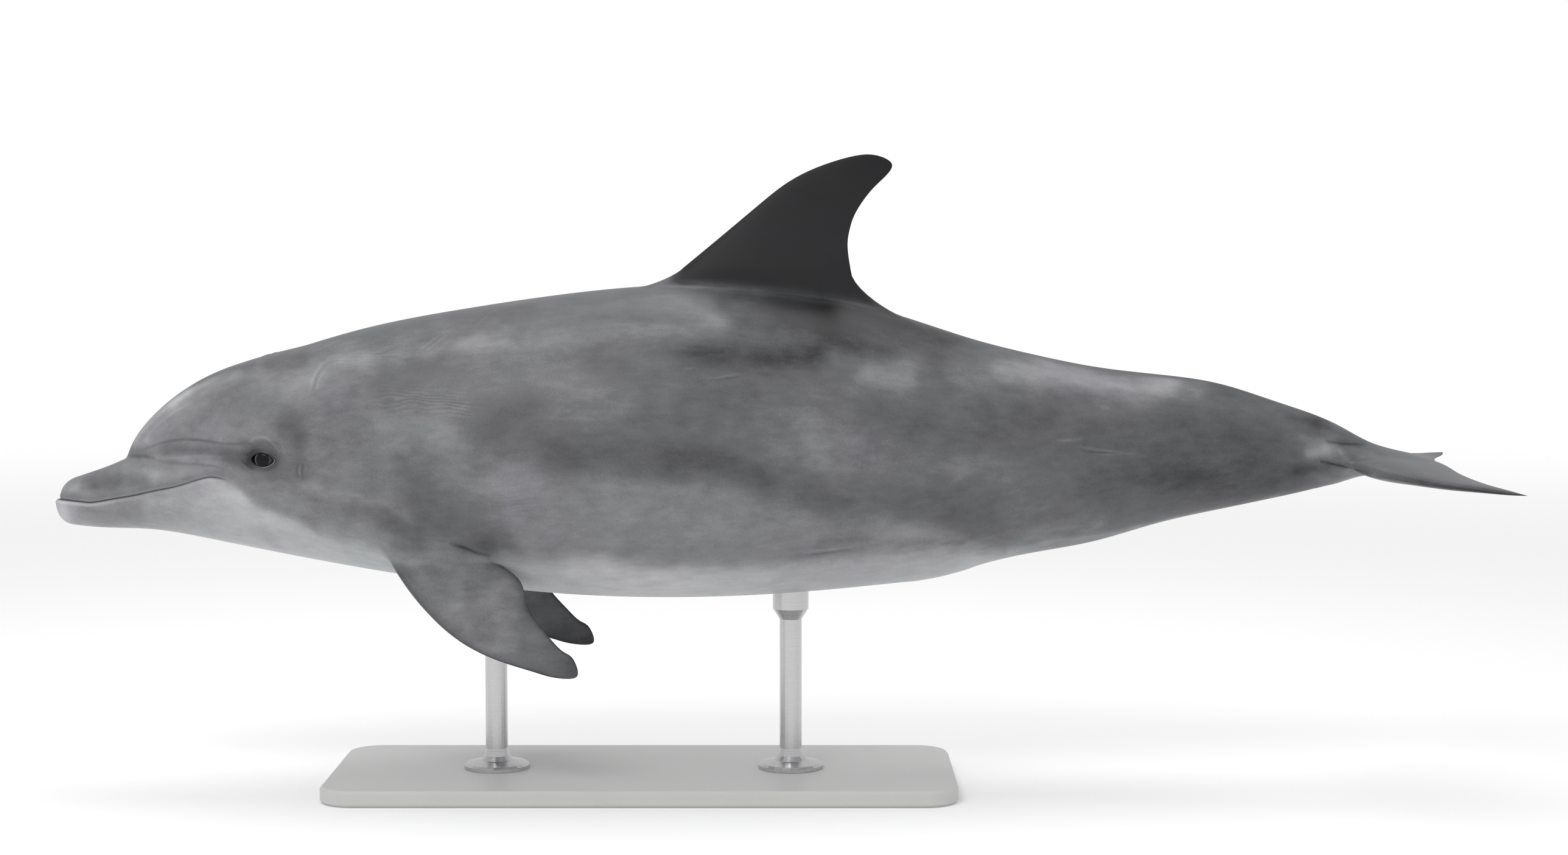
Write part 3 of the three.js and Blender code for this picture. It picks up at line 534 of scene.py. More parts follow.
def grow_fin(place, ribs, tip, bulk, put, hug, kind, map_box):
    outline = [
        Curve(*[(t, front[axis]) for t, front, _ in ribs], (1, tip[axis]),
              *[(2 - t, rear_edge[axis]) for t, _, rear_edge in reversed(ribs)])
        for axis in (0, 1)
    ]
    numbers, outside, share, side = fin_base(place)
    points = np.concatenate(sheet.points)

    def fin_point(t):
        front, rear_edge = [c(t) for c in outline], [c(2 - t) for c in outline]
        chord = math.hypot(rear_edge[0] - front[0], rear_edge[1] - front[1])
        aside = bulk(t) * chord * side * fin_section(np.clip(share, FIN_END, 1 - FIN_END)) / 2
        chordwise = front[0] + (rear_edge[0] - front[0]) * share
        spanwise = front[1] + (rear_edge[1] - front[1]) * share
        return put(chordwise, spanwise, aside)

    start, end = points[numbers], fin_point(0.0)
    reach = eased(np.linalg.norm(end - start, axis=1, keepdims=True), 1.0, 14) * hug
    leave = start - points[outside]
    leave = eased(leave / np.linalg.norm(leave, axis=1, keepdims=True), 1.0, 14)
    leave *= reach / np.linalg.norm(leave, axis=1, keepdims=True)
    arrive = fin_point(0.08) - end
    arrive *= reach / np.linalg.norm(arrive, axis=1, keepdims=True)
    low, high = map_box
    loop_high = low + (high - low) * np.arange(len(numbers) + 1) / len(numbers)
    rows_in_all = FILLET_ROWS + len(fin_levels) + 1
    state = {"loop": numbers, "row": 0}

    def map_row(row):
        across_map = FIN_MAP_LOW + (FIN_MAP_HIGH - FIN_MAP_LOW) * row / rows_in_all
        return np.stack([loop_high, np.full(len(loop_high), across_map)], -1)

    def join(upper):
        lower, row = state["loop"], state["row"]
        after, upper_after = np.roll(lower, -1), np.roll(upper, -1)
        near, far = map_row(row), map_row(row + 1)
        maps = np.stack([near[:-1], near[1:], far[1:], far[:-1]], 1)
        sheet.quads(np.stack([lower, after, upper_after, upper], -1), maps)
        state["loop"], state["row"] = upper, row + 1

    for t in np.linspace(0, 1, FILLET_ROWS + 1)[1:]:
        bent = (2 * t**3 - 3 * t * t + 1) * start + (t**3 - 2 * t * t + t) * leave
        bent = bent + (3 * t * t - 2 * t**3) * end + (t**3 - t * t) * arrive
        bent = eased(bent, math.sin(PI * t), 10)
        join(sheet.add(bent, bent[:, 0], kind, share, 0.1 * (t - 1)))
    for t in fin_levels:
        at = fin_point(t)
        join(sheet.add(at, at[:, 0], kind, share, t))
    end_point = put(np.array(tip[0]), np.array(tip[1]), np.array(0.0))
    tip_number = sheet.add(end_point, tip[0], kind, 0.5, 1.0)[0]
    last = map_row(rows_in_all - 1)
    top = np.array([(low + high) / 2, FIN_MAP_HIGH])
    sheet.fan(tip_number, state["loop"], top, last)


def grow_fins():
    grow_fin(dorsal_window, dorsal_ribs, (1579, 498), Curve((0, 0.165), (0.4, 0.135), (1, 0.13)),
             place_dorsal, 0.75, FIN, FIN_MAPS["dorsal"])
    bulk = Curve((0, 0.27), (0.25, 0.2), (0.5, 0.16), (1, 0.16))
    grow_fin(left_window, flipper_ribs, (1000, 234), bulk, flipper_placer(-1, 0.291), 0.8, FLIPPER,
             FIN_MAPS["left"])
    grow_fin(right_window, flipper_ribs, (1000, 234), bulk, flipper_placer(1, 0.24), 0.8, FLIPPER,
             FIN_MAPS["right"])


# ---- Eyes: lids and sockets ----------------------------------------------------------------------------

OPENING_HALF_LENGTH = 23.2  # of the slit between the lids
OPENING_HALF_HEIGHT = 13.0
OPENING_CORNERS = 1.75  # 2 would be an ellipse, and less draws its corners out
OPENING_LEAN = 0.16  # how far its top leans forward
LID_LOOPS = 24
SOCKET_GAP = 0.4
LID_EDGE = [(0.982, 0.3), (0.962, 0.8), (0.945, 1.3)]  # loops over the lids' edge: size, and drop in mm
SOCKET_LOOPS = 9

step_along = body_point(EYE_ALONG + 1, eye_round) - body_point(EYE_ALONG - 1, eye_round)
step_round = body_point(EYE_ALONG, eye_round + 0.01) - body_point(EYE_ALONG, eye_round - 0.01)
eye_place = body_point(EYE_ALONG, eye_round)
eye_out = np.cross(step_round, step_along)
eye_out /= np.linalg.norm(eye_out)
eye_level = np.array([1.0, 0, 0]) - eye_out[0] * eye_out
eye_level /= np.linalg.norm(eye_level)
eye_upright = np.cross(eye_out, eye_level)
to_level = np.array([
    [step_along @ eye_level / 2, step_round @ eye_level / 0.02],
    [step_along @ eye_upright / 2, step_round @ eye_upright / 0.02],
])
from_level = np.linalg.inv(to_level)


def opening_size(level, upright):
    """How many times as far out as the lids' edge a place in the eye's plane is."""
    leaning = np.abs((level + OPENING_LEAN * upright) / OPENING_HALF_LENGTH)
    return (leaning**OPENING_CORNERS + np.abs(upright / OPENING_HALF_HEIGHT) ** OPENING_CORNERS) ** (1 / OPENING_CORNERS)


def mirror(points):
    return points * np.array([1.0, -1.0, 1.0])


def window_loop(place):
    """The numbers round a window's edge, in turn, and their ring and step."""
    first_ring, last_ring, first_step, last_step = place
    ring = [first_ring] * (last_step - first_step) + list(range(first_ring, last_ring))
    step = list(range(first_step, last_step)) + [last_step] * (last_ring - first_ring)
    ring += [last_ring] * (last_step - first_step) + list(range(last_ring, first_ring, -1))
    step += list(range(last_step, first_step, -1)) + [first_step] * (last_ring - first_ring)
    ring, step = np.array(ring), np.array(step)
    return ring_numbers[ring, step % STEPS], ring, step % STEPS


def open_eye(right):
    """Fills an eye's window with loops that close in on the lids' opening, and lines the socket."""
    ring, step = window_loop(left_eye_window)[1:]
    border = ring_numbers[ring, (-step) % STEPS] if right else ring_numbers[ring, step]
    alongs, rounds = ring_places[ring], ring_round[ring, step]
    away = np.stack([alongs - EYE_ALONG, rounds - eye_round], -1) @ to_level.T
    rim = away / opening_size(*away.T)[:, None]
    sign = -1 if right else 1

    def map_of(level):
        place = level @ from_level.T
        return strip_map(EYE_ALONG + place[:, 0], sign * (eye_round + place[:, 1]))

    state = {"loop": border, "map": strip_map(alongs, sign * rounds)}

    def join(inner, inner_map):
        outer, outer_map = state["loop"], state["map"]
        order = [outer, np.roll(outer, -1), np.roll(inner, -1), inner]
        maps = [outer_map, np.roll(outer_map, -1, 0), np.roll(inner_map, -1, 0), inner_map]
        if right:
            order, maps = order[::-1], maps[::-1]
        sheet.quads(np.stack(order, -1), np.stack(maps, 1))
        state["loop"], state["map"] = inner, inner_map

    for share in np.linspace(1, 0, LID_LOOPS + 1)[1:]:
        level = rim + (away - rim) * share**1.7
        place = level @ from_level.T
        points = body_point(EYE_ALONG + place[:, 0], eye_round + place[:, 1])
        numbers = sheet.add(mirror(points) if right else points, EYE_ALONG + place[:, 0], BODY)
        join(numbers, map_of(level))
    lids_edge = state["loop"]
    rows = []
    for k in range(len(LID_EDGE) + SOCKET_LOOPS):
        numbers = sheet.add(np.zeros((len(border), 3)), EYE_ALONG, SOCKET)
        rows.append(numbers)
        join(numbers, map_of(rim * (1 - (k + 1) / (len(LID_EDGE) + SOCKET_LOOPS + 1))))
    pole = sheet.add([[0, 0, 0]], EYE_ALONG, SOCKET)[0]
    centre_map = strip_map(EYE_ALONG, sign * eye_round)
    closing = np.concatenate([state["map"], state["map"][:1]])
    sheet.fan(pole, state["loop"], centre_map, closing, flip=right)
    return {"edge": lids_edge, "rows": rows, "pole": pole, "right": right}


def line_socket(socket, points):
    """Rolls the lids' edge inwards and lays the lining close round the ball's back."""
    edge = points[socket["edge"]]
    if socket["right"]:
        edge = mirror(edge)
    away = edge - eye_place
    level, upright, out = away @ eye_level, away @ eye_upright, away @ eye_out
    radius = EYE_RADIUS + SOCKET_GAP

    def put(numbers, made):
        points[numbers] = mirror(made) if socket["right"] else made

    def at(x, y, z):
        return eye_place + x[:, None] * eye_level + y[:, None] * eye_upright + z[:, None] * eye_out

    for (size, drop), numbers in zip(LID_EDGE, socket["rows"]):
        ball = np.sqrt(np.maximum(radius**2 - (level * size) ** 2 - (upright * size) ** 2, 0)) - EYE_DEPTH
        put(numbers, at(level * size, upright * size, np.maximum(out - drop, ball)))
    size = LID_EDGE[-1][0] - 0.01
    flat = np.hypot(level * size, upright * size)
    start = np.arctan2(flat, np.sqrt(np.maximum(radius**2 - flat**2, 0)))
    turn = np.arctan2(upright, level)
    for k, numbers in enumerate(socket["rows"][len(LID_EDGE):]):
        polar = start + (PI - start) * (k + 1e-3) / SOCKET_LOOPS
        flat = radius * np.sin(polar)
        put(numbers, at(flat * np.cos(turn), flat * np.sin(turn), radius * np.cos(polar) - EYE_DEPTH))
    put(np.array([socket["pole"]]), (eye_place - (EYE_DEPTH + radius) * eye_out)[None])


lay_body()
cap_snout()
grow_fins()
sockets = [open_eye(False), open_eye(True)]
sheet.close()


def sheet_normals(points):
    """Outward directions at the sheet's points."""
    total = np.zeros_like(points)
    quads = np.array([f for f in sheet.faces if len(f) == 4])
    quads = quads[(sheet.kind[quads] != SOCKET).all(1)]
    triangles = np.array([f for f in sheet.faces if len(f) == 3])
    for faces, corners in ((quads, (0, 1, 2, 3)), (triangles, (0, 1, 2, 2))):
        a, b, c, d = (points[faces[:, i]] for i in corners)
        normal = np.cross(c - a, d - b) if faces.shape[1] == 4 else np.cross(b - a, c - a)
        for i in range(faces.shape[1]):
            np.add.at(total, faces[:, i], normal)
    return total / np.maximum(np.linalg.norm(total, axis=1, keepdims=True), 1e-9)


# ---- Relief: lips, folds, lids, blowhole ---------------------------------------------------------------


def eye_level_places(points):
    """Places round the nearer eye in its own plane, and how far out of it."""
    left = points * np.array([1.0, 1.0, 1.0])
    left[:, 1] = -np.abs(left[:, 1])
    away = left - eye_place
    return away @ eye_level, away @ eye_upright, away @ eye_out


def eye_distance(level, upright):
    """How far outside the lids' opening, in millimetres, and the direction round it."""
    turn = np.arctan2(upright / OPENING_HALF_HEIGHT, level / OPENING_HALF_LENGTH)
    return (opening_size(level, upright) - 1) * math.sqrt(OPENING_HALF_LENGTH * OPENING_HALF_HEIGHT), turn


def eye_relief(points):
    level, upright, out = eye_level_places(points)
    near = (np.hypot(level, upright) < 60) & (np.abs(out) < 30)
    far, turn = eye_distance(level, upright)
    above = smooth_step(-0.2, 0.5, np.sin(turn))
    lift = 0.8 + (3.3 + 0.7 * above) * np.sin(turn) ** 2
    bulge = lift * (1 - smooth_step(0, 17, far))
    rim = 0.5 * bell(1.5, far - 1.8) + 0.3 * above * bell(1.0, far - 4.9)
    folds = -0.7 * bell(0.9, far - 6.4) - 0.35 * bell(1.1, far - 10)
    return np.where(near, bulge + rim + folds, 0)


def mouth_distance(along, up):
    """Signed distance above the line of the lips, in millimetres."""
    slope = (mouth_line(along + 1) - mouth_line(along - 1)) / 2
    return (up - mouth_line(along)) / np.sqrt(1 + slope**2)


def mouth_relief(along, up):
    far = mouth_distance(along, up)
    closed = 1 - smooth_step(326, 350, along)
    lips = 0.8 * bell(3.6, far - 5) + 0.8 * bell(4.2, far + 5.5)
    return (lips - 2.7 * bell(1.1, far)) * closed * (along < MOUTH_CORNER + 10)


def blowhole_relief(points):
    """A crescent slit with its horns forward, in a low swelling."""
    x = points[:, 0] - (BLOWHOLE_ALONG - BLOWHOLE_RADIUS)
    y = points[:, 1]
    turn = np.clip(np.arctan2(y, x), -BLOWHOLE_HALF_TURN, BLOWHOLE_HALF_TURN)
    off = np.hypot(x - BLOWHOLE_RADIUS * np.cos(turn), y - BLOWHOLE_RADIUS * np.sin(turn))
    slit = -BLOWHOLE_DEPTH * bell(1.9, off) + 1.0 * bell(3.5, off - 5.5)
    return np.where((points[:, 2] > 60) & (off < 30), slit, 0)


def line_relief(points, from_, to, up_line, width, depth, fade=14):
    """A shallow groove or, with a negative depth, a ridge down both sides of the head."""
    along, up = points[:, 0], points[:, 2]
    ends = smooth_step(from_, from_ + fade, along) * (1 - smooth_step(to - fade, to, along))
    return -depth * ends * bell(width, up - up_line(along))


crease_line = Curve((131, -66), (160, -64), (200, -64), (240, -60), (290, -58), (360, -58))
upper_band = Curve((170, -38), (205, -26), (260, -24), (320, -28), (380, -28))
brow_line = Curve((392, -18), (401, -11), (414, -7), (429, -11), (441, -22), (452, -36))
belly_slits = [(1395, 1425, 2.6), (1600, 1745, 4.2)]  # navel, then the long slit, with their depths


def belly_relief(points):
    along, across = points[:, 0], np.abs(points[:, 1])
    below = points[:, 2] < widest_up(along)
    total = 0
    for start, stop, depth in belly_slits:
        ends = smooth_step(start, start + 22, along) * (1 - smooth_step(stop - 22, stop, along))
        total = total + ends * (depth * 0.35 * bell(7, across - 11) - depth * bell(3.6, across))
    return np.where(below, total, 0)


def relief(points):
    total = eye_relief(points) + mouth_relief(sheet.along, points[:, 2]) + blowhole_relief(points)
    total = total + line_relief(points, 131, 250, crease_line, 3.5, 0.9, 40)
    total = total + line_relief(points, 190, 350, crease_line, 3.5, 0.4, 60)
    total = total + line_relief(points, 175, 380, upper_band, 4.5, 0.7, 30)
    total = total + line_relief(points, 394, 452, brow_line, 3.4, -0.9, 14)
    total = total + line_relief(points, 394, 452, lambda along: brow_line(along) - 7, 3.6, 0.7, 14)
    total = total + belly_relief(points)
    return np.where((sheet.kind == BODY), total, 0)


base_points = sheet.points.copy()
skin_points = base_points + sheet_normals(base_points) * relief(base_points)[:, None]
for socket in sockets:
    line_socket(socket, skin_points)

# ---- Markings, with painted highlights and shade --------------------------------------------------------

# Edges of the colour fields, as `along` against `up`.
THROAT_EDGE = Curve(
    (346, -92), (365, -98), (400, -128), (450, -150), (500, -172), (545, -197), (600, -205), (650, -222),
    (760, -240), (840, -240), (900, -226), (1000, -226), (1200, -242), (1400, -232), (1550, -222),
    (1700, -228), (1800, -232), (1900, -226), (2000, -212),
)
LOW_FLANK_EDGE = Curve(
    (840, -40), (930, -48), (1000, -66), (1100, -74), (1200, -86), (1300, -108), (1400, -134),
    (1500, -150), (1600, -160), (1700, -190), (1760, -214), (1900, -230),
)
LOW_FLANK_TONE = 0.455
MIDDLE_TONE = Curve(
    (0, 0.51), (130, 0.5), (250, 0.51), (420, 0.46), (520, 0.445), (800, 0.44), (1200, 0.41), (1500, 0.425),
    (1700, 0.39), (1900, 0.36), (2100, 0.325), (2300, 0.335), (2400, 0.39), (2700, 0.42),
)

# Soft strokes of lighter or darker colour down both sides: how far each reaches, the change, and its path.
BODY_STROKES = [
    # the beak and lips
    (11, 0.10, (18, -112), (45, -108)), (12, -0.07, (85, -108), (180, -92)), (9, -0.03, (60, -100), (110, -90)),
    (13, 0.06, (148, -74), (205, -78)), (10, 0.03, (205, -90), (290, -75)), (12, 0.10, (15, -150), (20, -165)),
    (12, -0.04, (60, -155), (170, -160)), (14, 0.04, (190, -135), (240, -130)),
    # the bands between the melon and the eye
    (9, -0.04, (150, -46), (200, -44), (262, -36), (380, -38)), (13, -0.035, (230, -36), (400, -40)),
    (6, 0.03, (215, -52), (270, -50)), (8, 0.04, (300, -54), (352, -64)),
    # the melon: its two long light strokes up the front are painted highlight
    (12, 0.09, (160, -16), (205, 30), (255, 68)), (16, 0.07, (235, 48), (290, 84), (350, 104)),
    (20, 0.03, (190, -6), (262, 40)),
    (8, -0.07, (215, 52), (262, 84), (320, 108), (380, 124)), (9, 0.06, (160, -28), (190, -20)),
    (26, -0.02, (300, 60), (420, 70)), (26, 0.03, (330, 10), (420, 20)),
    # round the eye and behind it: the dark round the eye is partly its own dark skin, partly painted shade of the
    # socket
    (25, -0.12, (404, -50), (434, -48)), (16, -0.08, (350, -50), (390, -52)), (6, 0.03, (395, -10), (440, -6)),
    (14, -0.05, (404, -28), (430, -27)),
    (22, -0.08, (462, 18), (484, -8)), (20, -0.05, (488, -30), (500, -64)), (14, -0.05, (440, -78), (500, -80)),
    (15, -0.05, (415, 122), (480, 134)), (30, 0.07, (418, 84), (500, 92)), (26, 0.07, (520, 116), (600, 130)),
    # cheek, throat and neck
    (20, 0.045, (318, -108), (376, -116)), (9, 0.05, (500, -92), (580, -112), (640, -128), (700, -150)),
    (15, -0.04, (520, -122), (660, -160)), (14, -0.06, (410, -190), (430, -205)),
    (16, 0.06, (545, -185), (640, -195)), (40, -0.05, (705, -70), (724, -125)),
    (28, -0.09, (650, -172), (710, -188)), (36, -0.06, (720, -140), (830, -165)),
    (24, -0.05, (772, -170), (800, -190)), (15, -0.10, (806, -208), (850, -206)), (20, -0.09, (846, -193), (882, -190)), (34, 0.05, (640, 20), (760, 10)),
    (15, 0.06, (560, 128), (640, 138), (760, 156), (860, 164)), (12, -0.03, (560, 178), (700, 198)),
    (30, -0.04, (640, 95), (760, 110)), (36, -0.06, (820, 20), (900, 50)), (32, 0.04, (850, -95), (920, -80)),
    # the back in front of the fin: the first, long light stroke along the top is painted highlight
    (20, 0.06, (780, 150), (900, 168), (1040, 184), (1180, 194), (1260, 190)), (16, -0.05, (750, 212), (900, 224)),
    (8, -0.05, (1010, 212), (1180, 211)), (10, -0.03, (860, 205), (990, 222)), (22, 0.09, (1200, 234), (1250, 212)),
    (14, 0.05, (1130, 250), (1200, 240)), (30, -0.04, (1040, 130), (1130, 90)), (18, -0.05, (1170, 155), (1290, 150)),
    (30, 0.02, (950, 100), (1160, 60)),
    # the dark round the fin's foot
    (24, -0.12, (1270, 252), (1350, 240), (1450, 224)), (30, -0.10, (1380, 232), (1455, 222)),
    (34, -0.07, (1300, 205), (1440, 190)), (46, -0.14, (1470, 200), (1560, 205), (1680, 170)),
    (26, -0.08, (1200, 148), (1340, 138), (1430, 142)), (20, -0.06, (1340, 140), (1420, 144)),
    (54, -0.04, (1280, 205), (1580, 195)), (60, -0.03, (1240, 110), (1440, 105)),
    (26, -0.08, (1200, 240), (1260, 235)), (24, -0.10, (1500, 150), (1560, 140)), (22, -0.09, (1690, 122), (1740, 122)), (26, -0.05, (1500, 235), (1600, 212)),
    # clouds down the flank
    (36, -0.075, (970, -28), (1080, -38), (1240, -42), (1330, -76)), (30, -0.045, (1190, -34), (1270, -46)),
    (42, -0.065, (1340, -84), (1480, -112), (1600, -120), (1740, -150)), (40, -0.04, (860, 0), (960, -20)),
    (24, -0.045, (1410, -118), (1490, -122)), (70, -0.03, (1140, 30), (1260, 40)),
    (42, 0.03, (1410, 20), (1480, -60)),
    (28, 0.11, (1545, 118), (1600, 104)), (14, 0.05, (1480, 138), (1640, 130)), (34, -0.05, (1540, 45), (1620, 20)),
    (34, -0.03, (1660, -20), (1730, 10)), (34, 0.02, (1640, -60), (1700, -50)), (9, -0.05, (1440, -196), (1520, -190)),
    (6, -0.06, (1410, -222), (1520, -214)), (20, 0.04, (1560, -172), (1640, -182)), (5, -0.04, (1600, -208), (1720, -212)),
    # the loin and tail stock: the first, strong light stroke along the top is painted highlight
    (28, 0.17, (1700, 118), (1760, 114), (1850, 108), (1960, 92), (2080, 82)), (20, 0.07, (2060, 78), (2150, 66)),
    (40, 0.05, (1850, 90), (2150, 50)), (30, 0.06, (2150, 60), (2320, 30)),
    (22, -0.03, (1760, 30), (1860, 20)), (16, 0.03, (1900, 40), (2040, 28)), (30, 0.03, (1700, -60), (1800, -80)),
    (30, -0.05, (1930, -98), (2080, -92)), (40, -0.09, (2120, -90), (2330, -92)),
    (8, 0.09, (1800, -228), (2000, -198), (2300, -134)), (18, 0.04, (1840, -190), (1960, -172)),
    (14, -0.08, (2320, 24), (2390, 12)), (24, -0.03, (2230, -20), (2260, -30)), (12, -0.09, (2330, -78), (2400, -78)),
]
# Strokes on the flukes' root. The thin dark ones follow the creases where the flukes leave the tail stock and are
# painted shade there.
FLUKE_STROKES = [
    (9, 0.06, (2350, -18), (2400, -28)), (14, 0.17, (2366, -46), (2392, -40)),
    (4, -0.12, (2384, -60), (2460, -76)), (4, -0.10, (2400, -24), (2470, -29)),
    (8, 0.05, (2420, -40), (2480, -44)), (5, -0.04, (2400, 0), (2470, -22)),
]


def stroke_weight(along, up, reach, path):
    """1 along a stroke's path, fading out across its reach and past its ends."""
    off = np.full(along.shape, 1e9)
    for start, stop in zip(path[:-1], path[1:]):
        across, rise = stop[0] - start[0], stop[1] - start[1]
        share = ((along - start[0]) * across + (up - start[1]) * rise) / (across**2 + rise**2)
        share = np.clip(share, 0, 1)
        off = np.minimum(off, np.hypot(along - start[0] - share * across, up - start[1] - share * rise))
    return bell(reach, off)


def wavering(points, size):
    """Smooth shifts of about that size apart, -1 to 1, the same at each run."""
    places = points / size + 17.0
    return np.array([noise.noise_vector(place) for place in places.tolist()])


def body_tone(points, along, up, normals):
    """Lightness as the eye judges it, 0 to 1, of the body and flukes: their colour, with highlights painted along the
    melon, the back and the top of the tail stock.
    """
    broad, small = wavering(points, 120.0), wavering(points, 34.0)
    loose = 0.25 + 0.75 * smooth_step(430, 600, along)
    x = along + loose * (26 * broad[:, 0] + 9 * small[:, 0])
    z = up + loose * (13 * broad[:, 1] + 5 * small[:, 1])
    tone = MIDDLE_TONE(along)
    low_flank = smooth_step(-22, 22, LOW_FLANK_EDGE(x) - z) * smooth_step(820, 900, along)
    low_flank = low_flank * (1 - smooth_step(1720, 1900, along))
    tone = tone + (LOW_FLANK_TONE - tone) * low_flank
    strokes = sum(change * stroke_weight(x, z, reach, path) for reach, change, *path in BODY_STROKES)
    over_back = smooth_step(0.86, 0.99, normals[:, 2])
    tone = tone + strokes * (1 - 0.7 * over_back) - 0.01 * over_back
    soft = 13 + 12 * smooth_step(500, 900, along)
    edge = np.where(along < MOUTH_CORNER, mouth_line(np.minimum(along, MOUTH_CORNER)) - 1, THROAT_EDGE(x))
    soft = np.where(along < MOUTH_CORNER - 20, 2.2, soft)
    pale = smooth_step(-soft, soft, edge - z) * (1 - smooth_step(1780, 2000, along))
    low = smooth_step(0, 70, edge - z)
    pale_tone = PALE_TONE(along) + 0.05 * low * smooth_step(600, 900, along)
    return tone + (pale_tone - MIDDLE_TONE(along)) * pale


PALE_TONE = Curve(
    (0, 0.62), (60, 0.545), (150, 0.51), (220, 0.54), (300, 0.60), (360, 0.63), (480, 0.65), (620, 0.65),
    (900, 0.62), (1300, 0.605), (1560, 0.545), (1760, 0.53), (2000, 0.56),
)


def markings(points, normals):
    along, up = points[:, 0], points[:, 2]
    tone = body_tone(points, along, up, normals)
    # lips: a dark line in the mouth's groove, which is painted shade, a faint darker band above it, and the paler lower
    # lip
    far = mouth_distance(sheet.along, base_points[:, 2])
    lips = (sheet.kind == BODY) * (1 - smooth_step(338, 350, sheet.along))
    tone = tone - 0.17 * lips * bell(1.1, far - 0.2) - 0.04 * lips * bell(6, far - 7)
    tone = tone + (0.04 + 0.09 * (1 - smooth_step(60, 190, along))) * lips * bell(3.2, far + 4.5)
    # lids: dark skin round the opening, which is partly painted shade there, and a thin darker line that is painted
    # shade in the fold 6 mm out; the pale lines on the upper lid's fold and on the lower rear rim are painted
    # highlights
    level, upright, out = eye_level_places(base_points)
    ring, turn = eye_distance(level, upright)
    near = (sheet.kind == BODY) * (np.hypot(level, upright) < 70) * (np.abs(out) < 40)
    upper = smooth_step(-0.1, 0.4, np.sin(turn))
    lower_rear = smooth_step(0.45, 0.9, np.cos(turn + PI / 4))
    lids = 0.11 * bell(3.2, ring - 2) + 0.04 * bell(8, ring - 8) + 0.05 * bell(0.8, ring - 6.3)
    lid_highlights = 0.12 * upper * bell(0.7, ring - 4.9) + 0.30 * lower_rear * bell(0.6, ring - 0.6)
    tone = tone + near * (lid_highlights - lids)
    # the socket's lining is painted dark, as shade inside the socket
    tone = np.where(sheet.kind == SOCKET, 0.1, tone)
    # flukes
    in_fluke = (sheet.kind == FLUKE) | (along > 2300)
    strokes = sum(change * stroke_weight(along, up, reach, path) for reach, change, *path in FLUKE_STROKES)
    tone = tone + in_fluke * strokes
    blade = smooth_step(2440, 2560, along)
    edge = 1 - smooth_step(0, 22, along - front_at(np.abs(points[:, 1])))
    tip = smooth_step(200, 320, np.abs(points[:, 1]))
    # the flukes' upward faces are painted lighter, as light falling from above
    above = smooth_step(-0.2, 0.3, normals[:, 2])
    fluke_tone = 0.38 + 0.06 * above - 0.17 * edge - 0.1 * tip
    tone = np.where(sheet.kind == FLUKE, tone + (fluke_tone - tone) * blade, tone)
    # fins
    span, share = sheet.span, sheet.share
    root = smooth_step(1150, 1195, along) * (1 - smooth_step(1525, 1565, along))
    dark_fin = (sheet.kind == FIN) * smooth_step(-0.09, -0.045, span) * np.where(span < 0, root, 1)
    fin_tone = 0.065 + 0.025 * bell(0.35, span - 0.2) - 0.03 * smooth_step(0.7, 1, span)
    tone = tone + (fin_tone - tone) * dark_fin
    # a thin darker line in the fillet at the fin's foot: painted shade where the fin meets the back
    tone = tone - 0.03 * (sheet.kind == FIN) * bell(0.02, span + 0.085)
    edge = 0.7 * bell(0.10, share) + 0.5 * bell(0.08, 1 - share) + 0.8 * bell(0.03, share) + 0.8 * bell(0.03, 1 - share)
    mottle = wavering(points + 40.0, 26.0)[:, 0] + 0.7 * wavering(points, 55.0)[:, 2]
    flipper_tone = 0.425 - 0.11 * edge - 0.10 * smooth_step(0.7, 1, span) + 0.03 * bell(0.2, span - 0.35) + 0.035 * mottle
    # the flippers' faces towards the body are painted darker, as shade between flipper and body
    flipper_tone = flipper_tone - 0.08 * (normals[:, 1] * np.sign(points[:, 1]) < 0)
    tone = tone + (flipper_tone - tone) * (sheet.kind == FLIPPER) * smooth_step(-0.1, 0.05, span)
    # the back is a little darker than it looks under the lamps, and the belly paler
    return tone - 0.055 * normals[:, 2]


def skin_masks():
    """What the finish reads at each point: lightness, how mottled it is, and where the fine ripples lie."""
    along, up = skin_points[:, 0], skin_points[:, 2]
    near_mouth = bell(4, mouth_distance(sheet.along, base_points[:, 2])) * (sheet.along < MOUTH_CORNER)
    cover = 1 - 0.75 * ((sheet.kind == FIN) & (sheet.span > -0.05)) - 0.7 * near_mouth * (sheet.kind == BODY)
    ripples = stroke_weight(along, up, 22, ((650, 66), (720, 62), (790, 50)))
    ripples = ripples + 0.7 * stroke_weight(along, up, 12, ((560, 130), (700, 150)))
    ripples = ripples + 0.5 * stroke_weight(along, up, 26, ((880, -110), (900, -130)))
    return {
        "tone": markings(skin_points, sheet_normals(skin_points)), "cover": cover,
        "ripples": ripples * (sheet.kind == BODY),
    }


# ---- Meshes ---------------------------------------------------------------------------------------------


def to_frame(points):
    """Millimetres on the body to metres in the stand's frame."""
    points = np.asarray(points, float)
    return (points + np.array([-STAND_ALONG, 0, AXIS_HEIGHT])) / 1000


def new_piece(name, points, faces, material, corners=None, masks=None):
    mesh = bpy.data.meshes.new(name)
    mesh.from_pydata([tuple(p) for p in points.tolist()], [], faces)
    if corners is not None:
        layer = mesh.uv_layers.new(name="OFBake")
        layer.data.foreach_set("uv", corners.astype(np.float32).ravel())
    for mask_name, values in (masks or {}).items():
        layer = mesh.attributes.new(mask_name, "FLOAT", "POINT")
        layer.data.foreach_set("value", values.astype(np.float32))
    mesh.polygons.foreach_set("use_smooth", np.ones(len(mesh.polygons), bool))
    mesh.materials.append(material)
    mesh.update()
    piece = bpy.data.objects.new(name, mesh)
    bpy.context.scene.collection.objects.link(piece)
    return piece


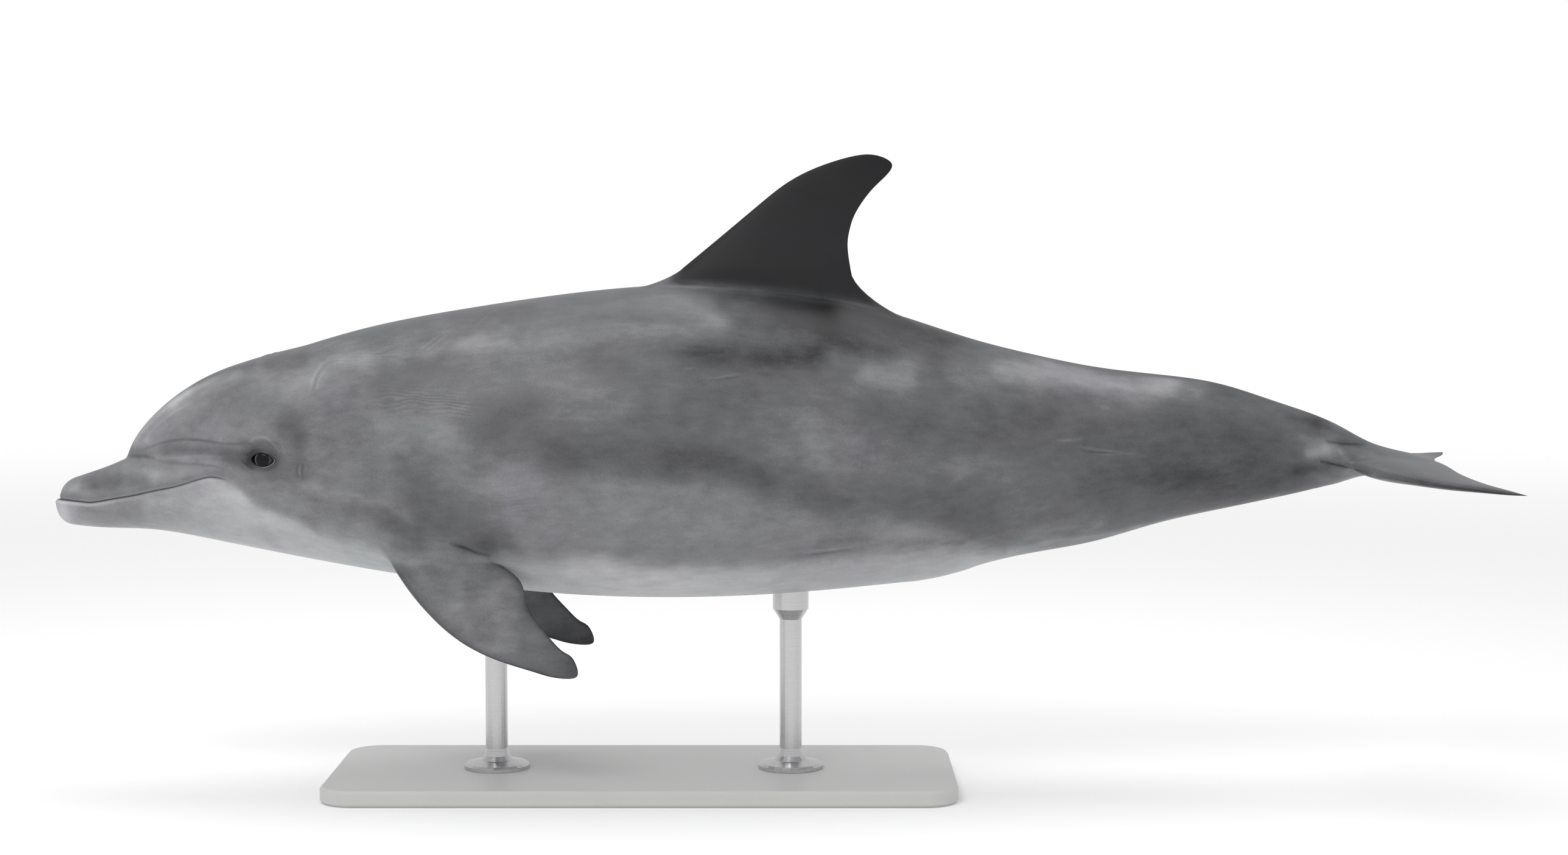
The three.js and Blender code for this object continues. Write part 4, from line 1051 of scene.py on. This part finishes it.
def ball_mesh(radius, rings=72, steps=96):
    """A sphere about its own +Z, its rings drawn together at the front."""
    polar = PI * (np.linspace(0, 1, rings + 1)[1:-1]) ** 1.3
    turn = np.linspace(0, 2 * PI, steps + 1)[:-1]
    grid = np.stack([
        np.sin(polar)[:, None] * np.cos(turn), np.sin(polar)[:, None] * np.sin(turn),
        np.cos(polar)[:, None] * np.ones(steps)
    ], -1).reshape(-1, 3)
    points = np.concatenate([[[0, 0, 1]], grid, [[0, 0, -1]]]) * radius
    faces = [[0, 1 + k, 1 + (k + 1) % steps] for k in range(steps)]
    for r in range(rings - 2):
        for k in range(steps):
            a, b = 1 + r * steps + k, 1 + r * steps + (k + 1) % steps
            faces.append([a, a + steps, b + steps, b])
    last, first = len(points) - 1, 1 + (rings - 2) * steps
    faces += [[last, first + (k + 1) % steps, first + k] for k in range(steps)]
    return points, faces


# ---- Finishes -------------------------------------------------------------------------------------------


class Board:
    """A material's or group's node tree, with short ways to place and wire nodes."""

    def __init__(self, tree):
        self.tree = tree

    def add(self, kind, settings=None, **inputs):
        node = self.tree.nodes.new(kind)
        for key, value in (settings or {}).items():
            setattr(node, key, value)
        for key, value in inputs.items():
            self.put(node, key.replace("_", " "), value)
        return node

    def put(self, node, socket, value):
        target = node.inputs[int(socket)] if str(socket).isdigit() else node.inputs[socket]
        if isinstance(value, bpy.types.NodeSocket):
            self.tree.links.new(value, target)
        else:
            target.default_value = value

    def math(self, operation, a, b=None, c=None, clamp=False):
        node = self.add("ShaderNodeMath", {"operation": operation, "use_clamp": clamp})
        for i, value in enumerate((a, b, c)):
            if value is not None:
                self.put(node, i, value)
        return node.outputs[0]

    def ramp(self, value, stops):
        node = self.add("ShaderNodeValToRGB", Fac=value)
        ramp = node.color_ramp
        while len(ramp.elements) < len(stops):
            ramp.elements.new(0.5)
        for element, (place, colour) in zip(ramp.elements, stops):
            element.position = place
            element.color = (*colour, 1.0)
        return node.outputs["Color"]

    def mask(self, name):
        return self.add("ShaderNodeAttribute", {"attribute_name": name}).outputs["Fac"]


def new_material(name):
    material = bpy.data.materials.new(name)
    material.use_nodes = True
    board = Board(material.node_tree)
    shader = material.node_tree.nodes["Principled BSDF"]
    return material, board, shader


def clouds_group():
    """Soft uneven patches. Stretch lengthens them along X, and squeeze flattens them. Gives a number round 0."""
    group = bpy.data.node_groups.new("soft_clouds", "ShaderNodeTree")
    for name, value in (("Scale", 10.0), ("Stretch", 1.0), ("Detail", 3.0), ("Squeeze", 1.0)):
        group.interface.new_socket(name, in_out="INPUT", socket_type="NodeSocketFloat").default_value = value
    group.interface.new_socket("Amount", in_out="OUTPUT", socket_type="NodeSocketFloat")
    board = Board(group)
    given = board.add("NodeGroupInput")
    place = board.add("ShaderNodeTexCoord").outputs["Object"]
    shrink = board.math("DIVIDE", 1.0, given.outputs["Stretch"])
    scale = board.add("ShaderNodeCombineXYZ", X=shrink, Y=1.0, Z=given.outputs["Squeeze"]).outputs[0]
    drawn = board.add("ShaderNodeVectorMath", {"operation": "MULTIPLY"})
    board.put(drawn, 0, place)
    board.put(drawn, 1, scale)
    noise = board.add(
        "ShaderNodeTexNoise", Vector=drawn.outputs[0], Scale=given.outputs["Scale"],
        Detail=given.outputs["Detail"],
    )
    amount = board.math("SUBTRACT", noise.outputs["Fac"], 0.5)
    given_out = board.add("NodeGroupOutput")
    board.put(given_out, "Amount", amount)
    return group


soft_clouds = clouds_group()


def clouds(board, scale, stretch=1.0, detail=3.0, squeeze=1.0):
    node = board.add(
        "ShaderNodeGroup", {"node_tree": soft_clouds}, Scale=scale, Stretch=stretch, Detail=detail,
        Squeeze=squeeze,
    )
    return node.outputs["Amount"]


GREY_STOPS = [
    (0.0, (0.004, 0.004, 0.005)), (0.2, (0.032, 0.032, 0.035)), (0.4, (0.130, 0.132, 0.137)),
    (0.55, (0.262, 0.265, 0.273)), (0.7, (0.446, 0.450, 0.462)), (0.85, (0.690, 0.694, 0.700)),
]


SKIN_TINTS = [(0.2, (1.01, 0.98, 1.02)), (0.5, (1.0, 1.0, 1.0)), (0.8, (0.97, 1.005, 0.99))]


def line_group():
    """A soft line: how strong it is at a distance off its middle, with faded ends."""
    group = bpy.data.node_groups.new("drawn_line", "ShaderNodeTree")
    for name, value in (("Off", 0.0), ("Share", 0.5), ("Width", 3.0)):
        group.interface.new_socket(name, in_out="INPUT", socket_type="NodeSocketFloat").default_value = value
    group.interface.new_socket("Mask", in_out="OUTPUT", socket_type="NodeSocketFloat")
    board = Board(group)
    given = board.add("NodeGroupInput").outputs
    far = board.math("DIVIDE", given["Off"], given["Width"])
    body = board.math("EXPONENT", board.math("MULTIPLY", board.math("MULTIPLY", far, far), -1.0))
    rest = board.math("SUBTRACT", 1.0, given["Share"])
    ends = board.math("MULTIPLY", given["Share"], rest, clamp=True)
    mask = board.math("MULTIPLY", body, board.math("MULTIPLY", board.math("SQRT", ends), 2.0))
    board.put(board.add("NodeGroupOutput"), "Mask", mask)
    return group


drawn_line = line_group()


def line(board, along, up, path, width):
    """A curved line's mask. The path is (along, up) pairs, and runs along the body or, when steep, up it."""
    path = np.array(path, float)
    steep = abs(path[-1, 1] - path[0, 1]) > abs(path[-1, 0] - path[0, 0])
    run, cross = (up, along) if steep else (along, up)
    at, value = (path[:, 1], path[:, 0]) if steep else (path[:, 0], path[:, 1])
    low, high = value.min() - 1, value.max() + 1
    share = board.math("MULTIPLY_ADD", run, 1 / (at[-1] - at[0]), -at[0] / (at[-1] - at[0]))
    bend = board.add("ShaderNodeFloatCurve", Value=share)
    points = bend.mapping.curves[0].points
    while len(points) < len(path):
        points.new(0.5, 0.5)
    for point, place, height in zip(points, (at - at[0]) / (at[-1] - at[0]), (value - low) / (high - low)):
        point.location = (place, height)
    bend.mapping.update()
    middle = board.math("MULTIPLY_ADD", bend.outputs[0], high - low, low)
    off = board.math("SUBTRACT", cross, middle)
    node = board.add("ShaderNodeGroup", {"node_tree": drawn_line}, Off=off, Share=share, Width=width)
    return node.outputs["Mask"]


# Fine lines in the skin: width, change of lightness, depth in mm, and the path in (along, up). Each dark line lies in a
# groove and is painted shade there, and each light line on the head lies on a ridge and is painted highlight; on the
# back and flanks the light lines are partly pale scratches, partly painted highlight on their ridges.
FINE_LINES = [
    # the band above the beak's crease, and the crease itself
    (3.0, -0.08, 0.3, (166, -42), (195, -31), (228, -21), (262, -16), (290, -16), (330, -20), (360, -21), (400, -19)),
    (3.6, -0.09, 0.3, (134, -53), (160, -51), (182, -50), (206, -54)),
    (3.0, -0.06, 0.2, (205, -57), (250, -60), (300, -61), (350, -70)),
    (3.0, 0.04, -0.2, (196, -47), (240, -50), (300, -45), (352, -49)),
    # the melon
    (4.0, -0.07, 0.1, (196, 38), (225, 58), (255, 74), (290, 94), (330, 110)),
    (6.0, 0.06, -0.1, (156, -24), (180, 4), (210, 32), (245, 58), (285, 82), (320, 96)),
    (2.2, 0.04, -0.1, (176, -22), (205, 8), (240, 34), (280, 56)),
    # round the eye
    (3.2, 0.05, -0.1, (392, -18), (401, -11), (414, -7), (429, -11), (441, -22), (452, -36)),
    (3.0, -0.09, 0.2, (376, -51), (380, -54), (388, -59), (396, -64), (408, -67)),
    (2.4, -0.07, 0.2, (406, -68), (418, -69), (427, -68), (436, -65), (449, -56)),
    (2.2, 0.025, -0.1, (452, -14), (458, -26), (461, -40)), (1.6, -0.04, 0.2, (386, -40), (396, -36), (404, -30)),
    # wrinkles behind it
    (1.6, -0.06, 0.2, (487, -82), (484, -68), (486, -54)), (1.5, 0.05, -0.1, (491, -80), (489, -66), (490, -54)),
    (1.6, -0.07, 0.2, (496, -86), (494, -70), (496, -54)), (1.5, 0.03, -0.1, (501, -80), (500, -68), (502, -58)),
    (2.6, 0.05, -0.1, (504, 70), (507, 96), (515, 116), (536, 136)),
    (2.6, -0.04, 0.1, (510, 74), (514, 98), (522, 114), (542, 130)), (1.8, 0.04, -0.2, (516, 78), (521, 98), (529, 112)),
    # the back and the flanks
    (1.8, 0.04, -0.1, (700, 148), (722, 164), (746, 182)), (1.8, 0.04, -0.1, (716, 148), (738, 166), (758, 180)),
    (1.6, 0.04, -0.1, (806, 196), (822, 210), (842, 226)), (1.6, -0.03, 0.1, (600, 138), (640, 146), (690, 150)),
    (1.8, 0.06, -0.1, (1250, 104), (1270, 108), (1296, 112)), (1.6, -0.05, 0.1, (1240, 100), (1270, 103), (1310, 108)),
    (1.6, 0.05, -0.1, (1195, 122), (1206, 122), (1218, 124)),
    (3.4, 0.07, -0.1, (1880, -14), (1900, -15), (1930, -12)), (2.2, 0.07, -0.1, (1920, -26), (1960, -33), (2030, -42)),
    (1.8, 0.06, -0.1, (1948, -39), (1975, -42), (2004, -41)), (1.8, -0.05, 0.1, (1925, -34), (1965, -38), (2010, -39)),
    (2.0, -0.06, 0.2, (1415, -222), (1450, -219), (1500, -214)), (1.8, 0.04, -0.1, (1420, -216), (1450, -213), (1505, -208)),
    # the flipper's root: a dark line painted as shade where the flipper meets the body
    (3.6, -0.14, 0.5, (764, -200), (785, -205), (801, -211), (817, -218), (842, -222)),
    # where the flukes grow out of the tail stock: dark lines painted as shade in those creases
    (2.2, -0.10, 0.5, (2384, -60), (2420, -68), (2462, -77)), (2.4, -0.09, 0.5, (2398, -24), (2430, -28), (2468, -30)),
]


def skin_finish():
    material, board, shader = new_material("dolphin_skin")
    x, y, z = board.add("ShaderNodeSeparateXYZ", Vector=board.add("ShaderNodeTexCoord").outputs["Object"]).outputs
    along = board.math("MULTIPLY_ADD", x, 1000.0, STAND_ALONG)
    up = board.math("MULTIPLY_ADD", z, 1000.0, -AXIS_HEIGHT)
    tone = board.mask("tone")
    cover = board.mask("cover")
    broad = clouds(board, 8.0, 1.7, 5.0)
    middle = clouds(board, 30.0, 1.4, 6.0)
    wisps = clouds(board, 90.0, 3.2, 5.0)
    fine = clouds(board, 420.0, 1.3, 3.0)
    for share, part in ((0.08, broad), (0.13, middle), (0.09, wisps), (0.10, fine)):
        tone = board.math("MULTIPLY_ADD", board.math("MULTIPLY", part, cover), share, tone)
    height = board.math("MULTIPLY_ADD", fine, 0.12, board.math("MULTIPLY", wisps, 0.12))
    for width, change, depth, *path in FINE_LINES:
        mask = line(board, along, up, path, width)
        tone = board.math("MULTIPLY_ADD", mask, change, tone)
        height = board.math("MULTIPLY_ADD", mask, -depth, height)
    ripple_place = board.math("MULTIPLY_ADD", clouds(board, 22.0, 2.0, 2.0), 42.0, up)
    ripple = board.math("SINE", board.math("MULTIPLY", ripple_place, 0.85))
    ripple = board.math("MULTIPLY", ripple, board.mask("ripples"))
    # the ripples' crests are painted a little lighter, as highlight on them
    tone = board.math("MULTIPLY_ADD", ripple, 0.022, tone, clamp=True)
    height = board.math("MULTIPLY_ADD", ripple, 0.15, height)
    tint = board.ramp(board.math("MULTIPLY_ADD", clouds(board, 6.0, 1.5, 5.0), 1.6, 0.5), SKIN_TINTS)
    tinted = board.add("ShaderNodeMix", {"data_type": "RGBA", "blend_type": "MULTIPLY"}, Factor=1.0)
    board.put(tinted, 6, board.ramp(tone, GREY_STOPS))
    board.put(tinted, 7, tint)
    board.put(shader, "Base Color", tinted.outputs[2])
    matt = board.math("MULTIPLY_ADD", cover, -0.2, 0.62)
    rough = board.math("MULTIPLY_ADD", middle, 0.12, board.math("MULTIPLY_ADD", wisps, 0.08, matt))
    board.put(shader, "Roughness", rough)
    shader.inputs["Specular IOR Level"].default_value = 0.28
    bump = board.add("ShaderNodeBump", Strength=0.6, Distance=0.001, Height=height)
    board.put(shader, "Normal", bump.outputs["Normal"])
    return material


def eye_tone(points):
    """Lightness over an eyeball: a dark iris, its pale rim towards the front, and the white gone dark, darkest towards
    the front corner, where it is painted shade of that deep corner.
    """
    off = np.arccos(np.clip(points[:, 2] / EYE_RADIUS, -1, 1)) / (PI / 2)
    turn = np.arctan2(points[:, 1], points[:, 0])
    forward = smooth_step(-0.35, 0.6, np.cos(turn - PI - 0.35))
    pupil = bell(0.13, np.hypot(points[:, 0] / EYE_RADIUS, 1.7 * points[:, 1] / EYE_RADIUS))
    iris = 0.045 - 0.03 * pupil - 0.02 * bell(0.04, off - 0.41)
    white = 0.24 - 0.19 * forward
    tone = iris + (white - iris) * smooth_step(0.42, 0.45, off)
    return tone + (0.05 + 0.36 * forward) * bell(0.05, off - 0.43)


def eye_finish():
    material, board, shader = new_material("eye_gloss")
    flecks = clouds(board, 260.0, 1.0, 4.0)
    tone = board.math("MULTIPLY_ADD", flecks, 0.05, board.mask("tone"), clamp=True)
    board.put(shader, "Base Color", board.ramp(tone, GREY_STOPS))
    board.put(shader, "Roughness", board.math("MULTIPLY_ADD", flecks, 0.05, 0.1))
    shader.inputs["Specular IOR Level"].default_value = 0.1
    return material


def stand_paint():
    material, board, shader = new_material("stand_paint")
    cloud = clouds(board, 9.0, 1.0, 4.0)
    fine = clouds(board, 700.0, 1.0, 2.0)
    tone = board.math("MULTIPLY_ADD", cloud, 0.06, 0.62)
    board.put(shader, "Base Color", board.ramp(tone, [(0.0, (0.02, 0.02, 0.02)), (1.0, (0.86, 0.86, 0.85))]))
    board.put(shader, "Roughness", board.math("MULTIPLY_ADD", cloud, 0.2, 0.42))
    bump = board.add("ShaderNodeBump", Strength=0.15, Distance=0.0004, Height=fine)
    board.put(shader, "Normal", bump.outputs["Normal"])
    return material


def rod_steel():
    """Turned steel: fine rings round the rods over a slight cloudiness."""
    material, board, shader = new_material("brushed_steel")
    rings = clouds(board, 12.0, 1.0, 4.0, 110.0)
    cloud = clouds(board, 14.0, 1.0, 3.0)
    tone = board.math("MULTIPLY_ADD", rings, 0.35, board.math("MULTIPLY_ADD", cloud, 0.1, 0.62))
    board.put(shader, "Base Color", board.ramp(tone, [(0.0, (0.2, 0.2, 0.2)), (1.0, (0.8, 0.8, 0.81))]))
    rough = board.math("MULTIPLY_ADD", rings, 0.25, board.math("MULTIPLY_ADD", cloud, 0.1, 0.3))
    board.put(shader, "Roughness", rough)
    shader.inputs["Metallic"].default_value = 1.0
    bump = board.add("ShaderNodeBump", Strength=0.2, Distance=0.0002, Height=rings)
    board.put(shader, "Normal", bump.outputs["Normal"])
    return material


# ---- The pieces -----------------------------------------------------------------------------------------

skin = new_piece(
    "skin", to_frame(skin_points), sheet.faces, skin_finish(), np.concatenate(sheet.corners), skin_masks()
)
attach(skin, "root")
FLESH = [
    "beak_upper", "jaw_lower", "head", "neck", "chest", "belly_and_back", "loin", "tail_stock_front",
    "tail_stock_rear", "fluke_left", "fluke_right", "dorsal_fin", "flipper_left", "flipper_right",
]
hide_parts(*FLESH)

ball_points, ball_faces = ball_mesh(EYE_RADIUS)
eye_gloss = eye_finish()
for side, name in ((-1, "left"), (1, "right")):
    turned = (
        eye_place - EYE_DEPTH * eye_out + ball_points[:, :1] * eye_level
        + ball_points[:, 1:2] * eye_upright + ball_points[:, 2:] * eye_out
    )
    faces = ball_faces
    if side > 0:
        turned = mirror(turned)
        faces = [face[::-1] for face in ball_faces]
    eye = new_piece(f"eyeball_{name}", to_frame(turned), faces, eye_gloss, masks={"tone": eye_tone(ball_points)})
    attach(eye, "root")
    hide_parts(f"eye_{name}")

paint, steel = stand_paint(), rod_steel()
for node, finish in (("stand_base", paint), ("stand_rod_front", steel), ("stand_rod_rear", steel)):
    stand_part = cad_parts[node]
    stand_part.material_slots[0].material = finish
    stand_part.data.polygons.foreach_set("use_smooth", np.ones(len(stand_part.data.polygons), bool))
    stand_part.data.set_sharp_from_angle(angle=math.radians(32))

# ---- Floor, lights and camera -----------------------------------------------------------------------------


def lay_floor():
    material, board, shader = new_material("pale_floor")
    place = board.add("ShaderNodeTexCoord").outputs["Object"]
    away = board.add("ShaderNodeVectorMath", {"operation": "LENGTH"})
    board.put(away, 0, place)
    fade = board.add("ShaderNodeMapRange", {"interpolation_type": "SMOOTHSTEP"})
    for key, value in (("Value", away.outputs["Value"]), ("From Min", 2.5), ("From Max", 9.0),
                       ("To Min", 1.0), ("To Max", 0.0)):
        board.put(fade, key, value)
    seen_from_below = board.add("ShaderNodeNewGeometry").outputs["Backfacing"]
    solid = board.math("SUBTRACT", fade.outputs[0], seen_from_below, clamp=True)
    board.put(shader, "Alpha", solid)
    shader.inputs["Base Color"].default_value = (0.9, 0.9, 0.9, 1)
    shader.inputs["Emission Color"].default_value = (1, 1, 1, 1)
    shader.inputs["Emission Strength"].default_value = 0.1
    shader.inputs["Roughness"].default_value = 0.9
    shader.inputs["Specular IOR Level"].default_value = 0.1
    size = 12.0
    mesh = bpy.data.meshes.new("floor")
    corners = [(-size, -size, -0.0006), (size, -size, -0.0006), (size, size, -0.0006), (-size, size, -0.0006)]
    mesh.from_pydata(corners, [], [(0, 1, 2, 3)])
    mesh.materials.append(material)
    floor = bpy.data.objects.new("floor", mesh)
    bpy.context.scene.collection.objects.link(floor)


def light_room(shown, cast):
    """A plain bright room: white where the camera sees it, and a softer light from all round."""
    world = bpy.data.worlds.new("bright_room")
    world.use_nodes = True
    board = Board(world.node_tree)
    background = world.node_tree.nodes["Background"]
    seen = board.add("ShaderNodeLightPath").outputs["Is Camera Ray"]
    strength = board.math("MULTIPLY_ADD", seen, shown - cast, cast)
    background.inputs["Color"].default_value = (1, 1, 1, 1)
    board.put(background, "Strength", strength)
    bpy.context.scene.world = world


def soft_box(name, place, aim, size, power):
    data = bpy.data.lights.new(name, "AREA")
    data.shape = "ELLIPSE"
    data.size, data.size_y = size
    data.energy = power
    light = bpy.data.objects.new(name, data)
    light.location = place
    light.rotation_euler = (Vector(aim) - Vector(place)).to_track_quat("-Z", "Y").to_euler()
    bpy.context.scene.collection.objects.link(light)


lay_floor()
light_room(1.0, 0.72)
soft_box("front_light", (-1.6, -3.4, 4.6), (0.2, 0, 0.7), (3.6, 2.0), 90)
soft_box("top_light", (0.4, 0.8, 4.6), (0.2, 0, 0.7), (4.0, 2.4), 60)

AIM = Vector((0.2673, 0.0, 0.680))
LOOKING_DOWN = math.radians(4.2)
AWAY = 5.21
camera_data = bpy.data.cameras.new("camera")
camera_data.sensor_width = 36.0
camera_data.lens = 63.28
camera_data.clip_end = 100.0
camera = bpy.data.objects.new("camera", camera_data)
camera.location = AIM + AWAY * Vector((0, -math.cos(LOOKING_DOWN), math.sin(LOOKING_DOWN)))
camera.rotation_euler = (math.radians(90) - LOOKING_DOWN, 0, 0)
bpy.context.scene.collection.objects.link(camera)
bpy.context.scene.camera = camera
bpy.context.scene.view_settings.view_transform = "Standard"
